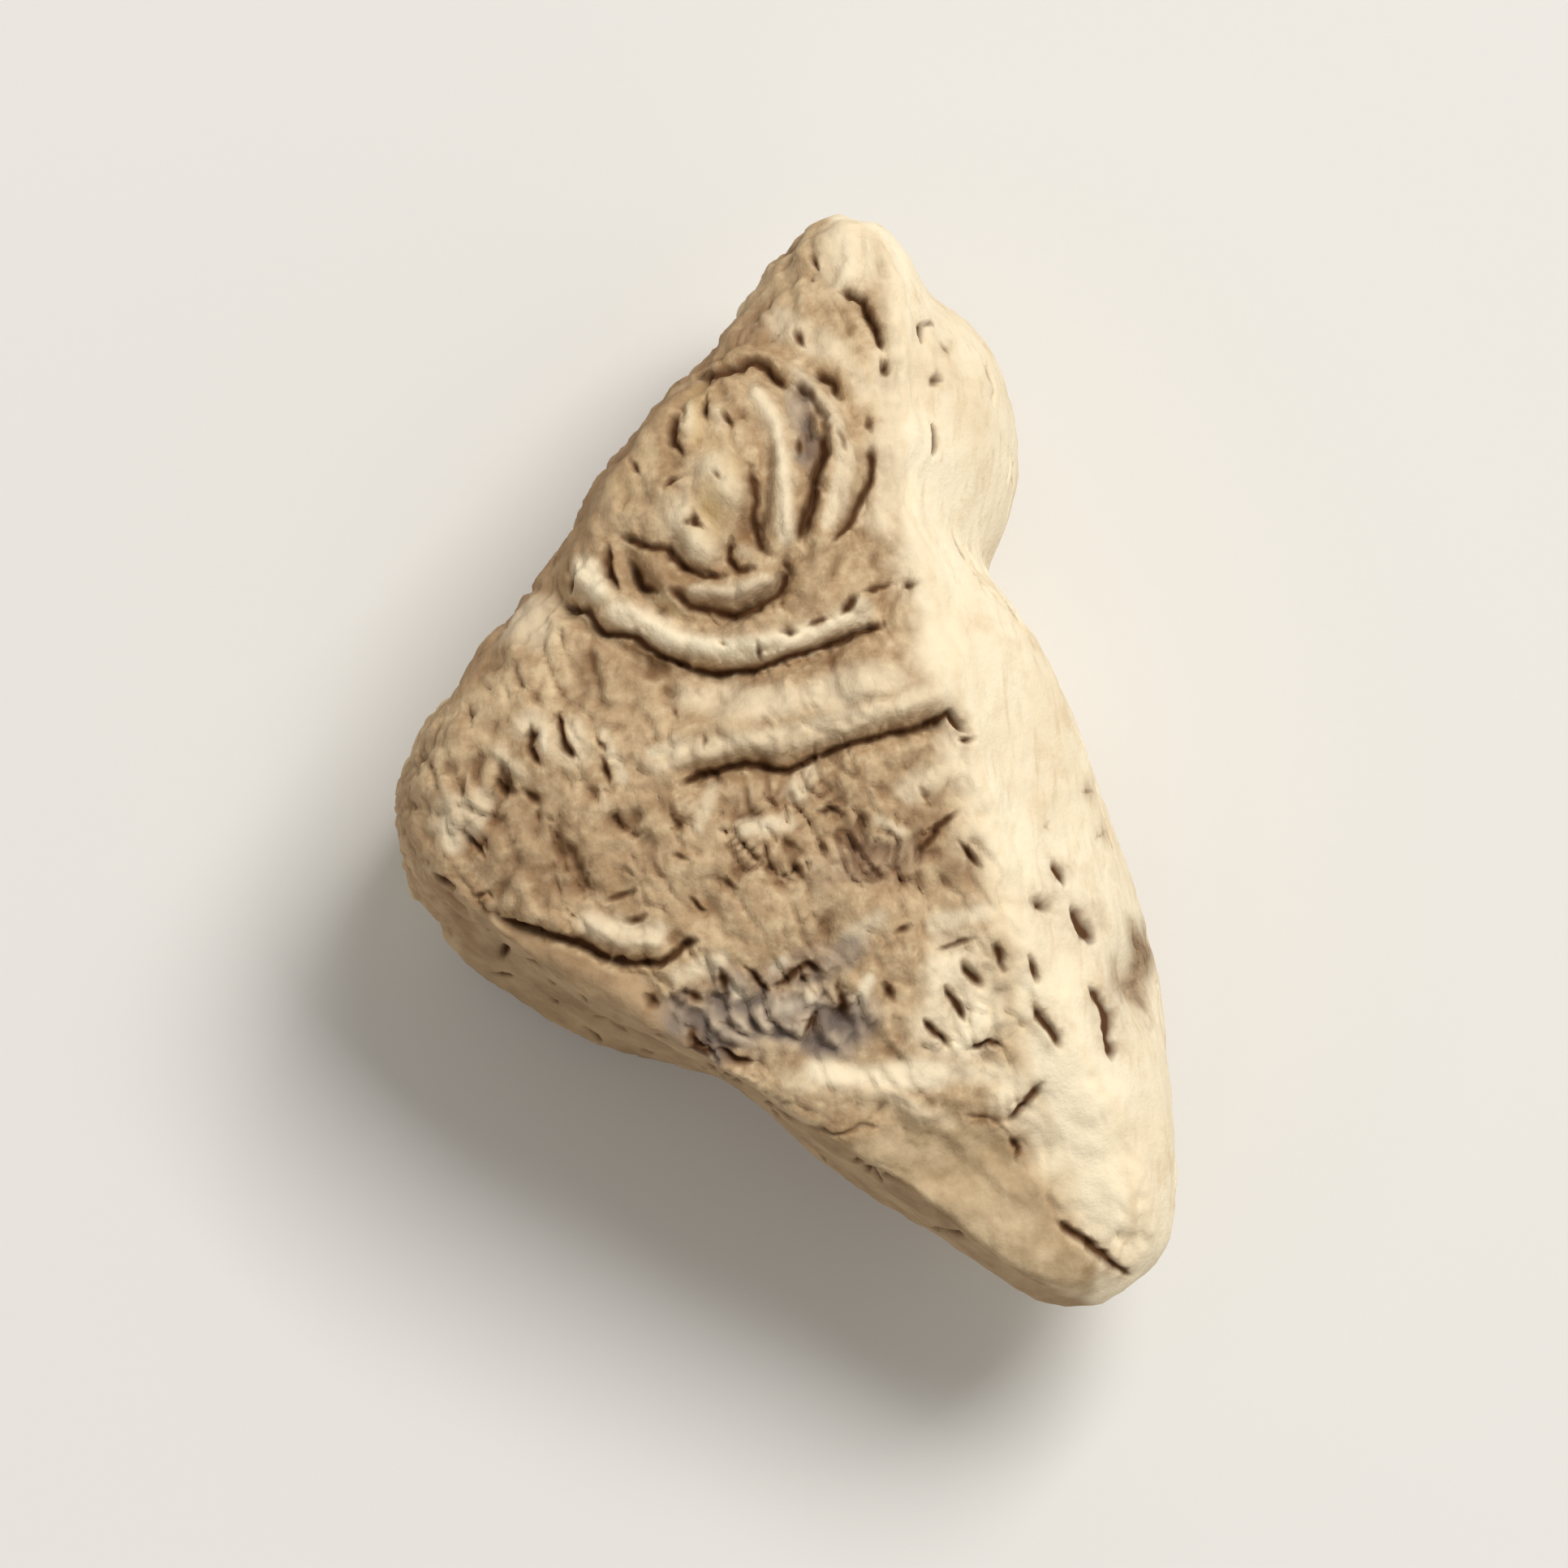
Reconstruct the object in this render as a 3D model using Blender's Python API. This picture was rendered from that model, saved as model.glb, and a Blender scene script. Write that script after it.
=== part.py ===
"""One dried, cut chunk of wild yam rhizome, lying bark side up on its widest knife cut.

The chunk is one solid. Its body is what a few flat cuts leave of a round rhizome, with every arris softened
by drying. On the bark stand the scar of an old stem, with rings round a knob, and the ridge of a leaf base.
"""

import math

import bmesh
import bpy
import numpy as np
from mathutils import Vector, noise

MM = 0.001

# The rhizome: X runs across it, Y along it, Z up from the resting face. All lengths are in millimetres.
BARK_TOP = 8.4
BARK_RADIUS = 18.0
BARK_CREST_X = 0.6
NODE_Y = 2.2
TAPER_TO_TIP = 0.021
TAPER_TO_APEX = 0.026

# Faces round the chunk: compass angle in degrees, lean in degrees (up is positive), reach from the middle at
# rim height, and how far drying has softened the arrises.
RIM_HEIGHT = 7.0
FACES = {
    "bark_flank": (143.3, 2.0, 4.65, 1.5),
    "left_corner": (185.0, 4.0, 6.4, 1.3),
    "left_corner_turn": (219.0, -2.0, 5.85, 0.9),
    "lower_left_cut": (237.6, 1.0, 4.95, 0.5),
    "tip_end": (297.0, 10.0, 9.5, 0.8),
    "right_shoulder_cut": (10.4, 36.0, 3.85, 0.5),
    "right_lower_side": (1.0, 4.0, 5.85, 0.9),
    "right_upper_side": (22.0, 5.0, 4.72, 0.8),
    "apex_end": (80.0, 4.0, 8.75, 1.1),
}

# Slanting cuts under the rim: the same, with the reach taken at resting height.
UNDER_FACES = {
    "under_left": (172.0, -36.0, 3.9, 0.5),
    "under_lower_left": (248.0, -30.0, 3.9, 0.5),
    "under_tip": (302.0, -46.0, 5.6, 0.6),
    "under_right": (12.0, -27.0, 4.4, 0.5),
    "under_apex": (72.0, -42.0, 5.6, 0.6),
}

# The underside bulges a little, so that only its middle is pared flat by what it lies on.
UNDERSIDE_RADIUS = 24.0
UNDERSIDE_X = 0.5
UNDERSIDE_Y = -0.8
UNDERSIDE_SOFTNESS = 0.5
RESTING_PARE = 0.14

# The swelling beside the scar, where a side shoot was cut through.
LOBE_CENTRE = (2.42, 4.9, 4.9)
LOBE_RADII = (1.3, 2.2, 2.3)
LOBE_BLEND = 0.45

# The right side draws in below the swelling: angle, lean and reach of the two faces round the missing piece,
# and how soft its inner corner and its edges are.
WAIST_SIDE = (39.0, 0.0, 4.24)
WAIST_TOP = (-60.0, 0.0, -2.05)
WAIST_CORNER_SOFTNESS = 0.9
WAIST_EDGE_SOFTNESS = 0.8

# Stem scar: its middle on the bark and how far it leans to the right in degrees. For each groove between its
# rings: half width, half height, depth, the angle that it faces and how far it spreads to either side.
SCAR_X = -0.9
SCAR_Y = 3.68
SCAR_TILT = 12.0
SCAR_GROOVES = (
    (0.72, 1.24, 0.30, -33.0, 110.0),
    (1.48, 2.03, 0.36, -18.0, 140.0),
    (2.25, 2.55, 0.26, 25.0, 80.0),
    (3.15, 2.78, 0.38, -80.0, 88.0),
)
SCAR_GROOVE_WIDTH = 0.17
SCAR_DOME = 0.40
SCAR_DOME_RADIUS = 3.0
SCAR_DOME_FLAT = 1.5
SCAR_KNOB = 0.22
SCAR_KNOB_RADIUS = 0.7
SCAR_GROOVE_FADE = 30.0

# Ridge of a leaf base across the bark.
RIDGE_LEFT_X = -1.8
RIDGE_RIGHT_X = 3.0
RIDGE_Y = -0.12
RIDGE_RISE = 0.22
RIDGE_WIDTH = 0.45
RIDGE_HEIGHT = 0.22
RIDGE_FADE = 0.7

# Cracks that opened as the chunk dried: half width, depth, and the few points that each runs through.
CRACKS = {
    "below_ridge": (0.19, 0.36, ((-1.6, -0.85), (-0.6, -0.52), (0.35, -0.62), (1.1, -0.18), (2.8, 0.2))),
    "bark_edge": (0.20, 0.38, ((-4.9, -2.9), (-4.2, -2.95), (-3.1, -3.3), (-2.1, -3.75), (-1.4, -4.7))),
    "apex": (0.20, 0.32, ((0.9, 7.05), (1.4, 6.7), (1.8, 5.6))),
    "lobe_foot": (0.24, 0.30, ((2.15, 6.9), (2.35, 5.8), (2.5, 4.7))),
}
CRACK_FADE = 0.6

# Hollows pressed into the surface as it dried: place, half width, half length and depth.
HOLLOWS = {
    "left_notch": ((-5.1, -3.5, 4.6), 1.2, 0.8, 0.35),
    "left_dimple": ((-6.1, -2.1, 5.6), 0.5, 0.5, 0.30),
    "tip_hollow": ((2.8, -6.6, 6.6), 1.9, 0.8, 0.45),
    "charcoal_hollow": ((0.1, -4.3, 7.8), 1.5, 0.8, 0.25),
    "right_nick": ((6.0, -3.4, 5.2), 0.6, 0.6, 0.40),
    "under_bark_lip": ((-1.6, 0.6, 8.3), 1.6, 0.45, 0.16),
    "right_side_dish": ((5.4, -1.4, 2.2), 1.6, 2.6, 0.30),
    "lower_left_dish": ((-1.4, -5.4, 3.4), 2.8, 1.6, 0.50),
    "flank_dish": ((-3.2, 2.6, 3.2), 1.8, 2.2, 0.40),
    "apex_dish": ((1.2, 8.2, 3.6), 1.4, 1.2, 0.30),
}

# Uneven drying: wave length and height of the warp, which fades out towards the resting face, and of the
# wrinkles in the bark.
WARP_LENGTH = 3.2
WARP_HEIGHT = 0.26
WARP_FULL_FROM_Z = 1.0
WRINKLE_LENGTH = 0.95
WRINKLE_HEIGHT = 0.17

# The middle that every surface point is found from.
HEART = Vector((0.4, -0.8, 4.2))
SEARCH_REACH = 14.0
SEARCH_HALVINGS = 26
SLOPE_STEP = 0.02

# How steep the surface may be, as the height of its normal, before the bark's relief fades out.
BARK_FADE_SLOPE = 0.45
BARK_FULL_SLOPE = 0.75

# Mesh fineness: cuts in each edge of the first icosahedron, rounds of evening out before and after its first
# split, and where one more split is made.
FIRST_CUTS = 6
FIRST_ROUNDS = 25
SECOND_ROUNDS = 6
BARK_SIDE_HEIGHT = 6.6
BARK_SIDE_SLOPE = 0.6
SCAR_MESH_RADIUS = 3.3
CRACK_MESH_REACH = 0.5

RHIZOME_COLOUR = (0.45, 0.33, 0.21, 1.0)
RHIZOME_ROUGHNESS = 0.85


def soft_max(a, b, softness):
    """The larger of two values, with the corner between them rounded off."""
    overlap = np.maximum(softness - np.abs(a - b), 0.0) / softness
    return np.maximum(a, b) + 0.25 * softness * overlap * overlap


def flat_face(points, angle, lean, reach, height):
    """Distance outside a flat face that passes through the given reach at the given height."""
    angle = math.radians(angle)
    lean = math.radians(lean)
    along = points[:, 0] * math.cos(angle) + points[:, 1] * math.sin(angle) - reach
    return along * math.cos(lean) + (points[:, 2] - height) * math.sin(lean)


def bark_round(points):
    """Distance outside the rhizome's round bark, which narrows away from the node."""
    along = points[:, 1] - NODE_Y
    taper = np.where(along < 0.0, TAPER_TO_TIP, TAPER_TO_APEX)
    radius = BARK_RADIUS - taper * along * along
    across = points[:, 0] - BARK_CREST_X
    up = points[:, 2] - (BARK_TOP - BARK_RADIUS)
    return np.hypot(across, up) - radius


def lobe(points):
    """Distance outside the swelling beside the scar."""
    scaled = (points - LOBE_CENTRE) / LOBE_RADII
    return (np.linalg.norm(scaled, axis=1) - 1.0) * min(LOBE_RADII)


def waist(points):
    """Depth inside the piece that is missing below the swelling."""
    side = flat_face(points, *WAIST_SIDE, RIM_HEIGHT)
    top = flat_face(points, *WAIST_TOP, RIM_HEIGHT)
    return -soft_max(-side, -top, WAIST_CORNER_SOFTNESS)


def outside(points):
    """How far each point lies outside the chunk's smooth body; negative inside it."""
    distance = bark_round(points)
    for angle, lean, reach, softness in FACES.values():
        distance = soft_max(distance, flat_face(points, angle, lean, reach, RIM_HEIGHT), softness)
    distance = soft_max(distance, waist(points), WAIST_EDGE_SOFTNESS)
    distance = -soft_max(-distance, -lobe(points), LOBE_BLEND)
    for angle, lean, reach, softness in UNDER_FACES.values():
        distance = soft_max(distance, flat_face(points, angle, lean, reach, 0.0), softness)
    bulge = ((points[:, 0] - UNDERSIDE_X) ** 2 + (points[:, 1] - UNDERSIDE_Y) ** 2) / (2.0 * UNDERSIDE_RADIUS)
    return soft_max(distance, bulge - points[:, 2], UNDERSIDE_SOFTNESS)


def on_body(directions):
    """The surface point along each direction from the heart, found by halving."""
    near = np.zeros(len(directions))
    far = np.full(len(directions), SEARCH_REACH)
    heart = np.array(HEART)
    for _ in range(SEARCH_HALVINGS):
        middle = 0.5 * (near + far)
        inside = outside(heart + directions * middle[:, None]) < 0.0
        near = np.where(inside, middle, near)
        far = np.where(inside, far, middle)
    return heart + directions * near[:, None]


def body_normals(points):
    """Outward normals of the smooth body."""
    slopes = [outside(points + offset) - outside(points - offset) for offset in SLOPE_STEP * np.eye(3)]
    slopes = np.stack(slopes, axis=1)
    return slopes / np.linalg.norm(slopes, axis=1)[:, None]


def bell(distance, width):
    """A soft bump of height one."""
    return np.exp(-((distance / width) ** 2))


def smooth_step(value, low, high):
    """Zero below low, one above high, and smooth between them."""
    share = np.clip((value - low) / (high - low), 0.0, 1.0)
    return share * share * (3.0 - 2.0 * share)


def stem_scar(x, y):
    """Height of the stem scar: a low dome with a knob, and grooves that leave rings between them."""
    tilt = math.radians(SCAR_TILT)
    right = (x - SCAR_X) * math.cos(tilt) - (y - SCAR_Y) * math.sin(tilt)
    up = (x - SCAR_X) * math.sin(tilt) + (y - SCAR_Y) * math.cos(tilt)
    away = np.hypot(right, up)
    angle = np.degrees(np.arctan2(up, right))
    height = SCAR_DOME * (1.0 - smooth_step(away, SCAR_DOME_FLAT, SCAR_DOME_RADIUS))
    height += SCAR_KNOB * bell(away, SCAR_KNOB_RADIUS)
    for half_width, half_height, depth, facing, spread in SCAR_GROOVES:
        level = np.hypot(right / half_width, up / half_height)
        from_groove = (level - 1.0) * 0.5 * (half_width + half_height)
        turned = np.abs((angle - facing + 180.0) % 360.0 - 180.0)
        there = 1.0 - smooth_step(turned, spread - SCAR_GROOVE_FADE, spread)
        height -= depth * there * bell(from_groove, SCAR_GROOVE_WIDTH)
    return height


def leaf_ridge(x, y):
    """Height of the ridge across the bark."""
    from_crest = y - RIDGE_Y - RIDGE_RISE * (x - RIDGE_LEFT_X)
    inside = smooth_step(x, RIDGE_LEFT_X - RIDGE_FADE, RIDGE_LEFT_X + RIDGE_FADE)
    inside *= 1.0 - smooth_step(x, RIDGE_RIGHT_X - RIDGE_FADE, RIDGE_RIGHT_X + RIDGE_FADE)
    return RIDGE_HEIGHT * inside * bell(from_crest, RIDGE_WIDTH)


def path_distance(x, y, path):
    """Plan distance from each point to a path of straight runs, and how far from its nearer end that is."""
    nearest = np.full(len(x), np.inf)
    along = np.zeros(len(x))
    length = 0.0
    for (x0, y0), (x1, y1) in zip(path, path[1:]):
        run_x = x1 - x0
        run_y = y1 - y0
        share = np.clip(((x - x0) * run_x + (y - y0) * run_y) / (run_x**2 + run_y**2), 0.0, 1.0)
        away = np.hypot(x - x0 - share * run_x, y - y0 - share * run_y)
        run = math.hypot(run_x, run_y)
        along = np.where(away < nearest, length + share * run, along)
        nearest = np.minimum(nearest, away)
        length += run
    return nearest, np.minimum(along, length - along)


def cracks(x, y):
    """Height of the cracks in the bark side, below zero. They fade out towards their ends."""
    height = np.zeros(len(x))
    for half_width, depth, path in CRACKS.values():
        away, from_end = path_distance(x, y, path)
        height -= depth * bell(away, half_width) * smooth_step(from_end, 0.0, CRACK_FADE)
    return height


def hollows(points):
    """Height of the hollows, below zero."""
    height = np.zeros(len(points))
    for place, half_width, half_length, depth in HOLLOWS.values():
        size = (half_width, half_length, max(half_width, half_length))
        away = np.linalg.norm((points - place) / size, axis=1)
        height -= depth * bell(away, 1.0)
    return height


def uneven(points, length):
    """Smooth, seedless noise between about -1 and 1, with waves of the given length."""
    return np.array([noise.noise(Vector(point) / length) for point in points])


def chunk_surface(directions):
    """The finished surface along each direction."""
    points = on_body(directions)
    normals = body_normals(points)
    x = points[:, 0]
    y = points[:, 1]
    bark = smooth_step(normals[:, 2], BARK_FADE_SLOPE, BARK_FULL_SLOPE)
    above_rest = smooth_step(points[:, 2], 0.0, WARP_FULL_FROM_Z)
    height = hollows(points) + above_rest * WARP_HEIGHT * uneven(points, WARP_LENGTH)
    height += bark * (stem_scar(x, y) + leaf_ridge(x, y) + cracks(x, y))
    height += bark * WRINKLE_HEIGHT * uneven(points, WRINKLE_LENGTH)
    surface = points + normals * height[:, None]
    surface[:, 2] = np.maximum(surface[:, 2], RESTING_PARE)
    return surface


def directions_of(mesh_points):
    """Unit directions of mesh points from the heart."""
    away = mesh_points - np.array(HEART)
    return away / np.linalg.norm(away, axis=1)[:, None]


def spread_evenly(bm, rounds):
    """Move each vertex along the body towards the middle of its neighbours, so that the faces grow alike."""
    edges = np.array([(edge.verts[0].index, edge.verts[1].index) for edge in bm.edges])
    points = np.array([vert.co for vert in bm.verts])
    count = np.bincount(edges.ravel(), minlength=len(points))[:, None]
    for _ in range(rounds):
        total = np.zeros_like(points)
        np.add.at(total, edges[:, 0], points[edges[:, 1]])
        np.add.at(total, edges[:, 1], points[edges[:, 0]])
        points = on_body(directions_of(total / count))
    for vert, point in zip(bm.verts, points):
        vert.co = point


def split_where(bm, wanted):
    """Halve the edges of each wanted vertex and keep the mesh triangular."""
    edges = {edge for vert in bm.verts if wanted(vert) for edge in vert.link_edges}
    edges = sorted(edges, key=lambda edge: edge.index)
    bmesh.ops.subdivide_edges(bm, edges=edges, cuts=1, use_grid_fill=True)
    bmesh.ops.triangulate(bm, faces=[face for face in bm.faces if len(face.verts) > 3])
    bm.verts.index_update()
    bm.edges.index_update()
    bm.normal_update()


def on_bark_side(vert):
    """Whether a vertex lies on the bark or on the cut face beside it."""
    return vert.co.z > BARK_SIDE_HEIGHT and vert.normal.z > BARK_SIDE_SLOPE


def on_relief(vert):
    """Whether a vertex lies on the stem scar or beside a crack."""
    if not on_bark_side(vert):
        return False
    if math.hypot(vert.co.x - SCAR_X, vert.co.y - SCAR_Y) < SCAR_MESH_RADIUS:
        return True
    x = np.array([vert.co.x])
    y = np.array([vert.co.y])
    return any(path_distance(x, y, path)[0][0] < CRACK_MESH_REACH for _, _, path in CRACKS.values())


def chunk_mesh():
    """The chunk as one closed mesh, finest on its scar and cracks, with its resting spot at the origin."""
    bm = bmesh.new()
    bmesh.ops.create_icosphere(bm, subdivisions=1, radius=1.0)
    bmesh.ops.subdivide_edges(bm, edges=bm.edges[:], cuts=FIRST_CUTS, use_grid_fill=True)
    bmesh.ops.triangulate(bm, faces=bm.faces[:])
    bm.verts.index_update()
    for vert in bm.verts:
        vert.co += HEART
    spread_evenly(bm, FIRST_ROUNDS)
    split_where(bm, lambda vert: True)
    spread_evenly(bm, SECOND_ROUNDS)
    bm.normal_update()
    split_where(bm, on_bark_side)
    split_where(bm, on_relief)
    surface = chunk_surface(directions_of(np.array([vert.co for vert in bm.verts])))
    low = surface.min(axis=0)
    high = surface.max(axis=0)
    origin = np.array([0.5 * (low[0] + high[0]), 0.5 * (low[1] + high[1]), low[2]])
    for vert, point in zip(bm.verts, (surface - origin) * MM):
        vert.co = point
    bmesh.ops.recalc_face_normals(bm, faces=bm.faces)
    mesh = bpy.data.meshes.new("root_chunk")
    bm.to_mesh(mesh)
    bm.free()
    mesh.shade_smooth()
    return mesh


def dried_rhizome():
    """Dull, dry bark and flesh."""
    material = bpy.data.materials.new("dried_rhizome")
    material.use_nodes = True
    shader = material.node_tree.nodes["Principled BSDF"]
    shader.inputs["Base Color"].default_value = RHIZOME_COLOUR
    shader.inputs["Roughness"].default_value = RHIZOME_ROUGHNESS
    shader.inputs["Metallic"].default_value = 0.0
    return material


for old in list(bpy.data.objects):
    bpy.data.objects.remove(old)

chunk = bpy.data.objects.new("root_chunk", chunk_mesh())
chunk.data.materials.append(dried_rhizome())
bpy.context.scene.collection.objects.link(chunk)
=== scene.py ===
# A dried, cut chunk of wild yam root on a pale floor, seen from almost straight above.

import math
from types import SimpleNamespace

import bmesh
import bpy
import numpy as np
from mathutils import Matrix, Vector, noise


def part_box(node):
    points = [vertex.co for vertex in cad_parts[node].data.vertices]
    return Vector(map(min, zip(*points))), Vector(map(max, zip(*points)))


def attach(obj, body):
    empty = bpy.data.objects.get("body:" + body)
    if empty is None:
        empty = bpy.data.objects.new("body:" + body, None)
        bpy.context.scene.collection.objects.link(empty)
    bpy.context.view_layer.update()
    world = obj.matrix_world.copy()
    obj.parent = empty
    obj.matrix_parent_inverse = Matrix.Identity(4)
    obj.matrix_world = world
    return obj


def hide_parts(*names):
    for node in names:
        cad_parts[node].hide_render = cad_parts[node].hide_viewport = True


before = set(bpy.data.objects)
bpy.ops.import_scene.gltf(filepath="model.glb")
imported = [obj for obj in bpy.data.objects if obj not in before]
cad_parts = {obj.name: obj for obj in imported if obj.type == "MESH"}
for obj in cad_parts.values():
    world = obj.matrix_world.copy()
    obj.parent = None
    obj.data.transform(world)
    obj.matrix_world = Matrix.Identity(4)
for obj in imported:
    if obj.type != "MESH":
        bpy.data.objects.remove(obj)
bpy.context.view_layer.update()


# ---- The chunk ----
# One piece of rhizome, cut with a knife while fresh and then dried hard. Its bark side is up, with the ringed
# scar of an old stem and the ridge of a leaf base. Its sides and underside are pale, starchy flesh with short
# slits where bundles of fibre shrank. Lengths are in millimetres until the mesh is placed.

MM = 0.001

BARK_TOP = 8.4
BARK_RADIUS = 18.0
BARK_CREST_X = 0.6
NODE_Y = 2.2
TAPER_TO_TIP = 0.021
TAPER_TO_APEX = 0.026

# Faces round the chunk: angle round from +X, lean, reach at rim height, and how far drying has softened the
# edges.
RIM_HEIGHT = 7.0
BARK_SIDES = {
    "bark_flank": (143.3, 2.0, 4.65, 1.5),
    "left_corner": (185.0, 4.0, 6.4, 1.3),
    "left_corner_turn": (219.0, -2.0, 5.85, 0.9),
}
CUT_SIDES = {
    "lower_left_cut": (237.6, 1.0, 4.95, 0.5),
    "tip_end": (297.0, 10.0, 9.5, 0.8),
    "right_shoulder_cut": (10.4, 36.0, 3.85, 0.5),
    "right_lower_side": (1.0, 4.0, 5.85, 0.9),
    "right_upper_side": (22.0, 5.0, 4.72, 0.8),
    "apex_end": (80.0, 4.0, 8.75, 1.1),
}
UNDER_CUTS = {
    "under_left": (172.0, -36.0, 3.9, 0.5),
    "under_lower_left": (248.0, -30.0, 3.9, 0.5),
    "under_tip": (302.0, -46.0, 5.6, 0.6),
    "under_right": (12.0, -27.0, 4.4, 0.5),
    "under_apex": (72.0, -42.0, 5.6, 0.6),
}
UNDERSIDE_RADIUS = 24.0
UNDERSIDE_X = 0.5
UNDERSIDE_Y = -0.8
UNDERSIDE_SOFTNESS = 0.5
RESTING_PARE = 0.14

LOBE_CENTRE = (2.42, 4.9, 4.9)
LOBE_RADII = (1.3, 2.2, 2.3)
LOBE_BLEND = 0.45

# The right side draws in below the swelling: angle, lean and reach of the two faces round the missing piece,
# and how soft its inner corner and its edges are.
WAIST_SIDE = (39.0, 0.0, 4.24)
WAIST_TOP = (-60.0, 0.0, -2.05)
WAIST_CORNER_SOFTNESS = 0.9
WAIST_EDGE_SOFTNESS = 0.8

HEART = Vector((0.4, -0.8, 4.2))
SEARCH_REACH = 14.0
SEARCH_HALVINGS = 26
SLOPE_STEP = 0.02


def soft_max(a, b, softness):
    """The larger of two values, with the corner between them rounded off."""
    overlap = np.maximum(softness - np.abs(a - b), 0.0) / softness
    return np.maximum(a, b) + 0.25 * softness * overlap * overlap


def flat_face(points, angle, lean, reach, height):
    """Distance outside a flat face that passes through the given reach at the given height."""
    angle = math.radians(angle)
    lean = math.radians(lean)
    along = points[:, 0] * math.cos(angle) + points[:, 1] * math.sin(angle) - reach
    return along * math.cos(lean) + (points[:, 2] - height) * math.sin(lean)


def bark_round(points):
    """Distance outside the rhizome's round bark, which narrows away from the node."""
    along = points[:, 1] - NODE_Y
    taper = np.where(along < 0.0, TAPER_TO_TIP, TAPER_TO_APEX)
    radius = BARK_RADIUS - taper * along * along
    across = points[:, 0] - BARK_CREST_X
    up = points[:, 2] - (BARK_TOP - BARK_RADIUS)
    return np.hypot(across, up) - radius


def lobe(points):
    """Distance outside the swelling beside the scar."""
    scaled = (points - LOBE_CENTRE) / LOBE_RADII
    return (np.linalg.norm(scaled, axis=1) - 1.0) * min(LOBE_RADII)


def waist(points):
    """Depth inside the piece that is missing below the swelling."""
    side = flat_face(points, *WAIST_SIDE, RIM_HEIGHT)
    top = flat_face(points, *WAIST_TOP, RIM_HEIGHT)
    return -soft_max(-side, -top, WAIST_CORNER_SOFTNESS)


def outside(points):
    """How far each point lies outside the chunk's smooth body; negative inside it."""
    distance = bark_round(points)
    for angle, lean, reach, softness in [*BARK_SIDES.values(), *CUT_SIDES.values()]:
        distance = soft_max(distance, flat_face(points, angle, lean, reach, RIM_HEIGHT), softness)
    distance = soft_max(distance, waist(points), WAIST_EDGE_SOFTNESS)
    distance = -soft_max(-distance, -lobe(points), LOBE_BLEND)
    for angle, lean, reach, softness in UNDER_CUTS.values():
        distance = soft_max(distance, flat_face(points, angle, lean, reach, 0.0), softness)
    bulge = ((points[:, 0] - UNDERSIDE_X) ** 2 + (points[:, 1] - UNDERSIDE_Y) ** 2) / (2.0 * UNDERSIDE_RADIUS)
    return soft_max(distance, bulge - points[:, 2], UNDERSIDE_SOFTNESS)


def directions_of(mesh_points):
    """Unit directions of mesh points from the heart."""
    away = mesh_points - np.array(HEART)
    return away / np.linalg.norm(away, axis=1)[:, None]


def on_body(directions):
    """The surface point along each direction from the heart, found by halving."""
    near = np.zeros(len(directions))
    far = np.full(len(directions), SEARCH_REACH)
    heart = np.array(HEART)
    for _ in range(SEARCH_HALVINGS):
        middle = 0.5 * (near + far)
        inside = outside(heart + directions * middle[:, None]) < 0.0
        near = np.where(inside, middle, near)
        far = np.where(inside, far, middle)
    return heart + directions * near[:, None]


def body_normals(points):
    """Outward normals of the smooth body."""
    slopes = [outside(points + offset) - outside(points - offset) for offset in SLOPE_STEP * np.eye(3)]
    slopes = np.stack(slopes, axis=1)
    return slopes / np.linalg.norm(slopes, axis=1)[:, None]


def bell(distance, width):
    """A soft bump of height one."""
    return np.exp(-((distance / width) ** 2))


def smooth_step(value, low, high):
    """Zero below low, one above high, and smooth between them."""
    share = np.clip((value - low) / (high - low), 0.0, 1.0)
    return share * share * (3.0 - 2.0 * share)


def uneven(points, length):
    """Smooth, seedless noise between about -1 and 1, with waves of the given length."""
    return np.array([noise.noise(Vector(point) / length) for point in points])


def path_distance(x, y, path):
    """Distance from each point to a path of straight runs, and how far from its nearer end that is."""
    nearest = np.full(len(x), np.inf)
    along = np.zeros(len(x))
    length = 0.0
    for (x0, y0), (x1, y1) in zip(path, path[1:]):
        run_x = x1 - x0
        run_y = y1 - y0
        share = np.clip(((x - x0) * run_x + (y - y0) * run_y) / (run_x**2 + run_y**2), 0.0, 1.0)
        away = np.hypot(x - x0 - share * run_x, y - y0 - share * run_y)
        run = math.hypot(run_x, run_y)
        along = np.where(away < nearest, length + share * run, along)
        nearest = np.minimum(nearest, away)
        length += run
    return nearest, np.minimum(along, length - along)


# The broad relief: scar, ridge, cracks, hollows and the warp of drying.
SCAR_X = -0.9
SCAR_Y = 3.68
SCAR_TILT = 12.0
SCAR_GROOVES = (
    (0.72, 1.24, 0.30, -33.0, 110.0),
    (1.48, 2.03, 0.36, -18.0, 140.0),
    (2.25, 2.55, 0.26, 25.0, 80.0),
    (3.15, 2.78, 0.38, -80.0, 88.0),
)
SCAR_GROOVE_WIDTH = 0.17
SCAR_DOME = 0.40
SCAR_DOME_RADIUS = 3.0
SCAR_DOME_FLAT = 1.5
SCAR_KNOB = 0.22
SCAR_KNOB_RADIUS = 0.7
SCAR_GROOVE_FADE = 30.0
RIDGE_LEFT_X = -1.8
RIDGE_RIGHT_X = 3.0
RIDGE_Y = -0.12
RIDGE_RISE = 0.22
RIDGE_WIDTH = 0.45
RIDGE_HEIGHT = 0.22
RIDGE_FADE = 0.7
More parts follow.
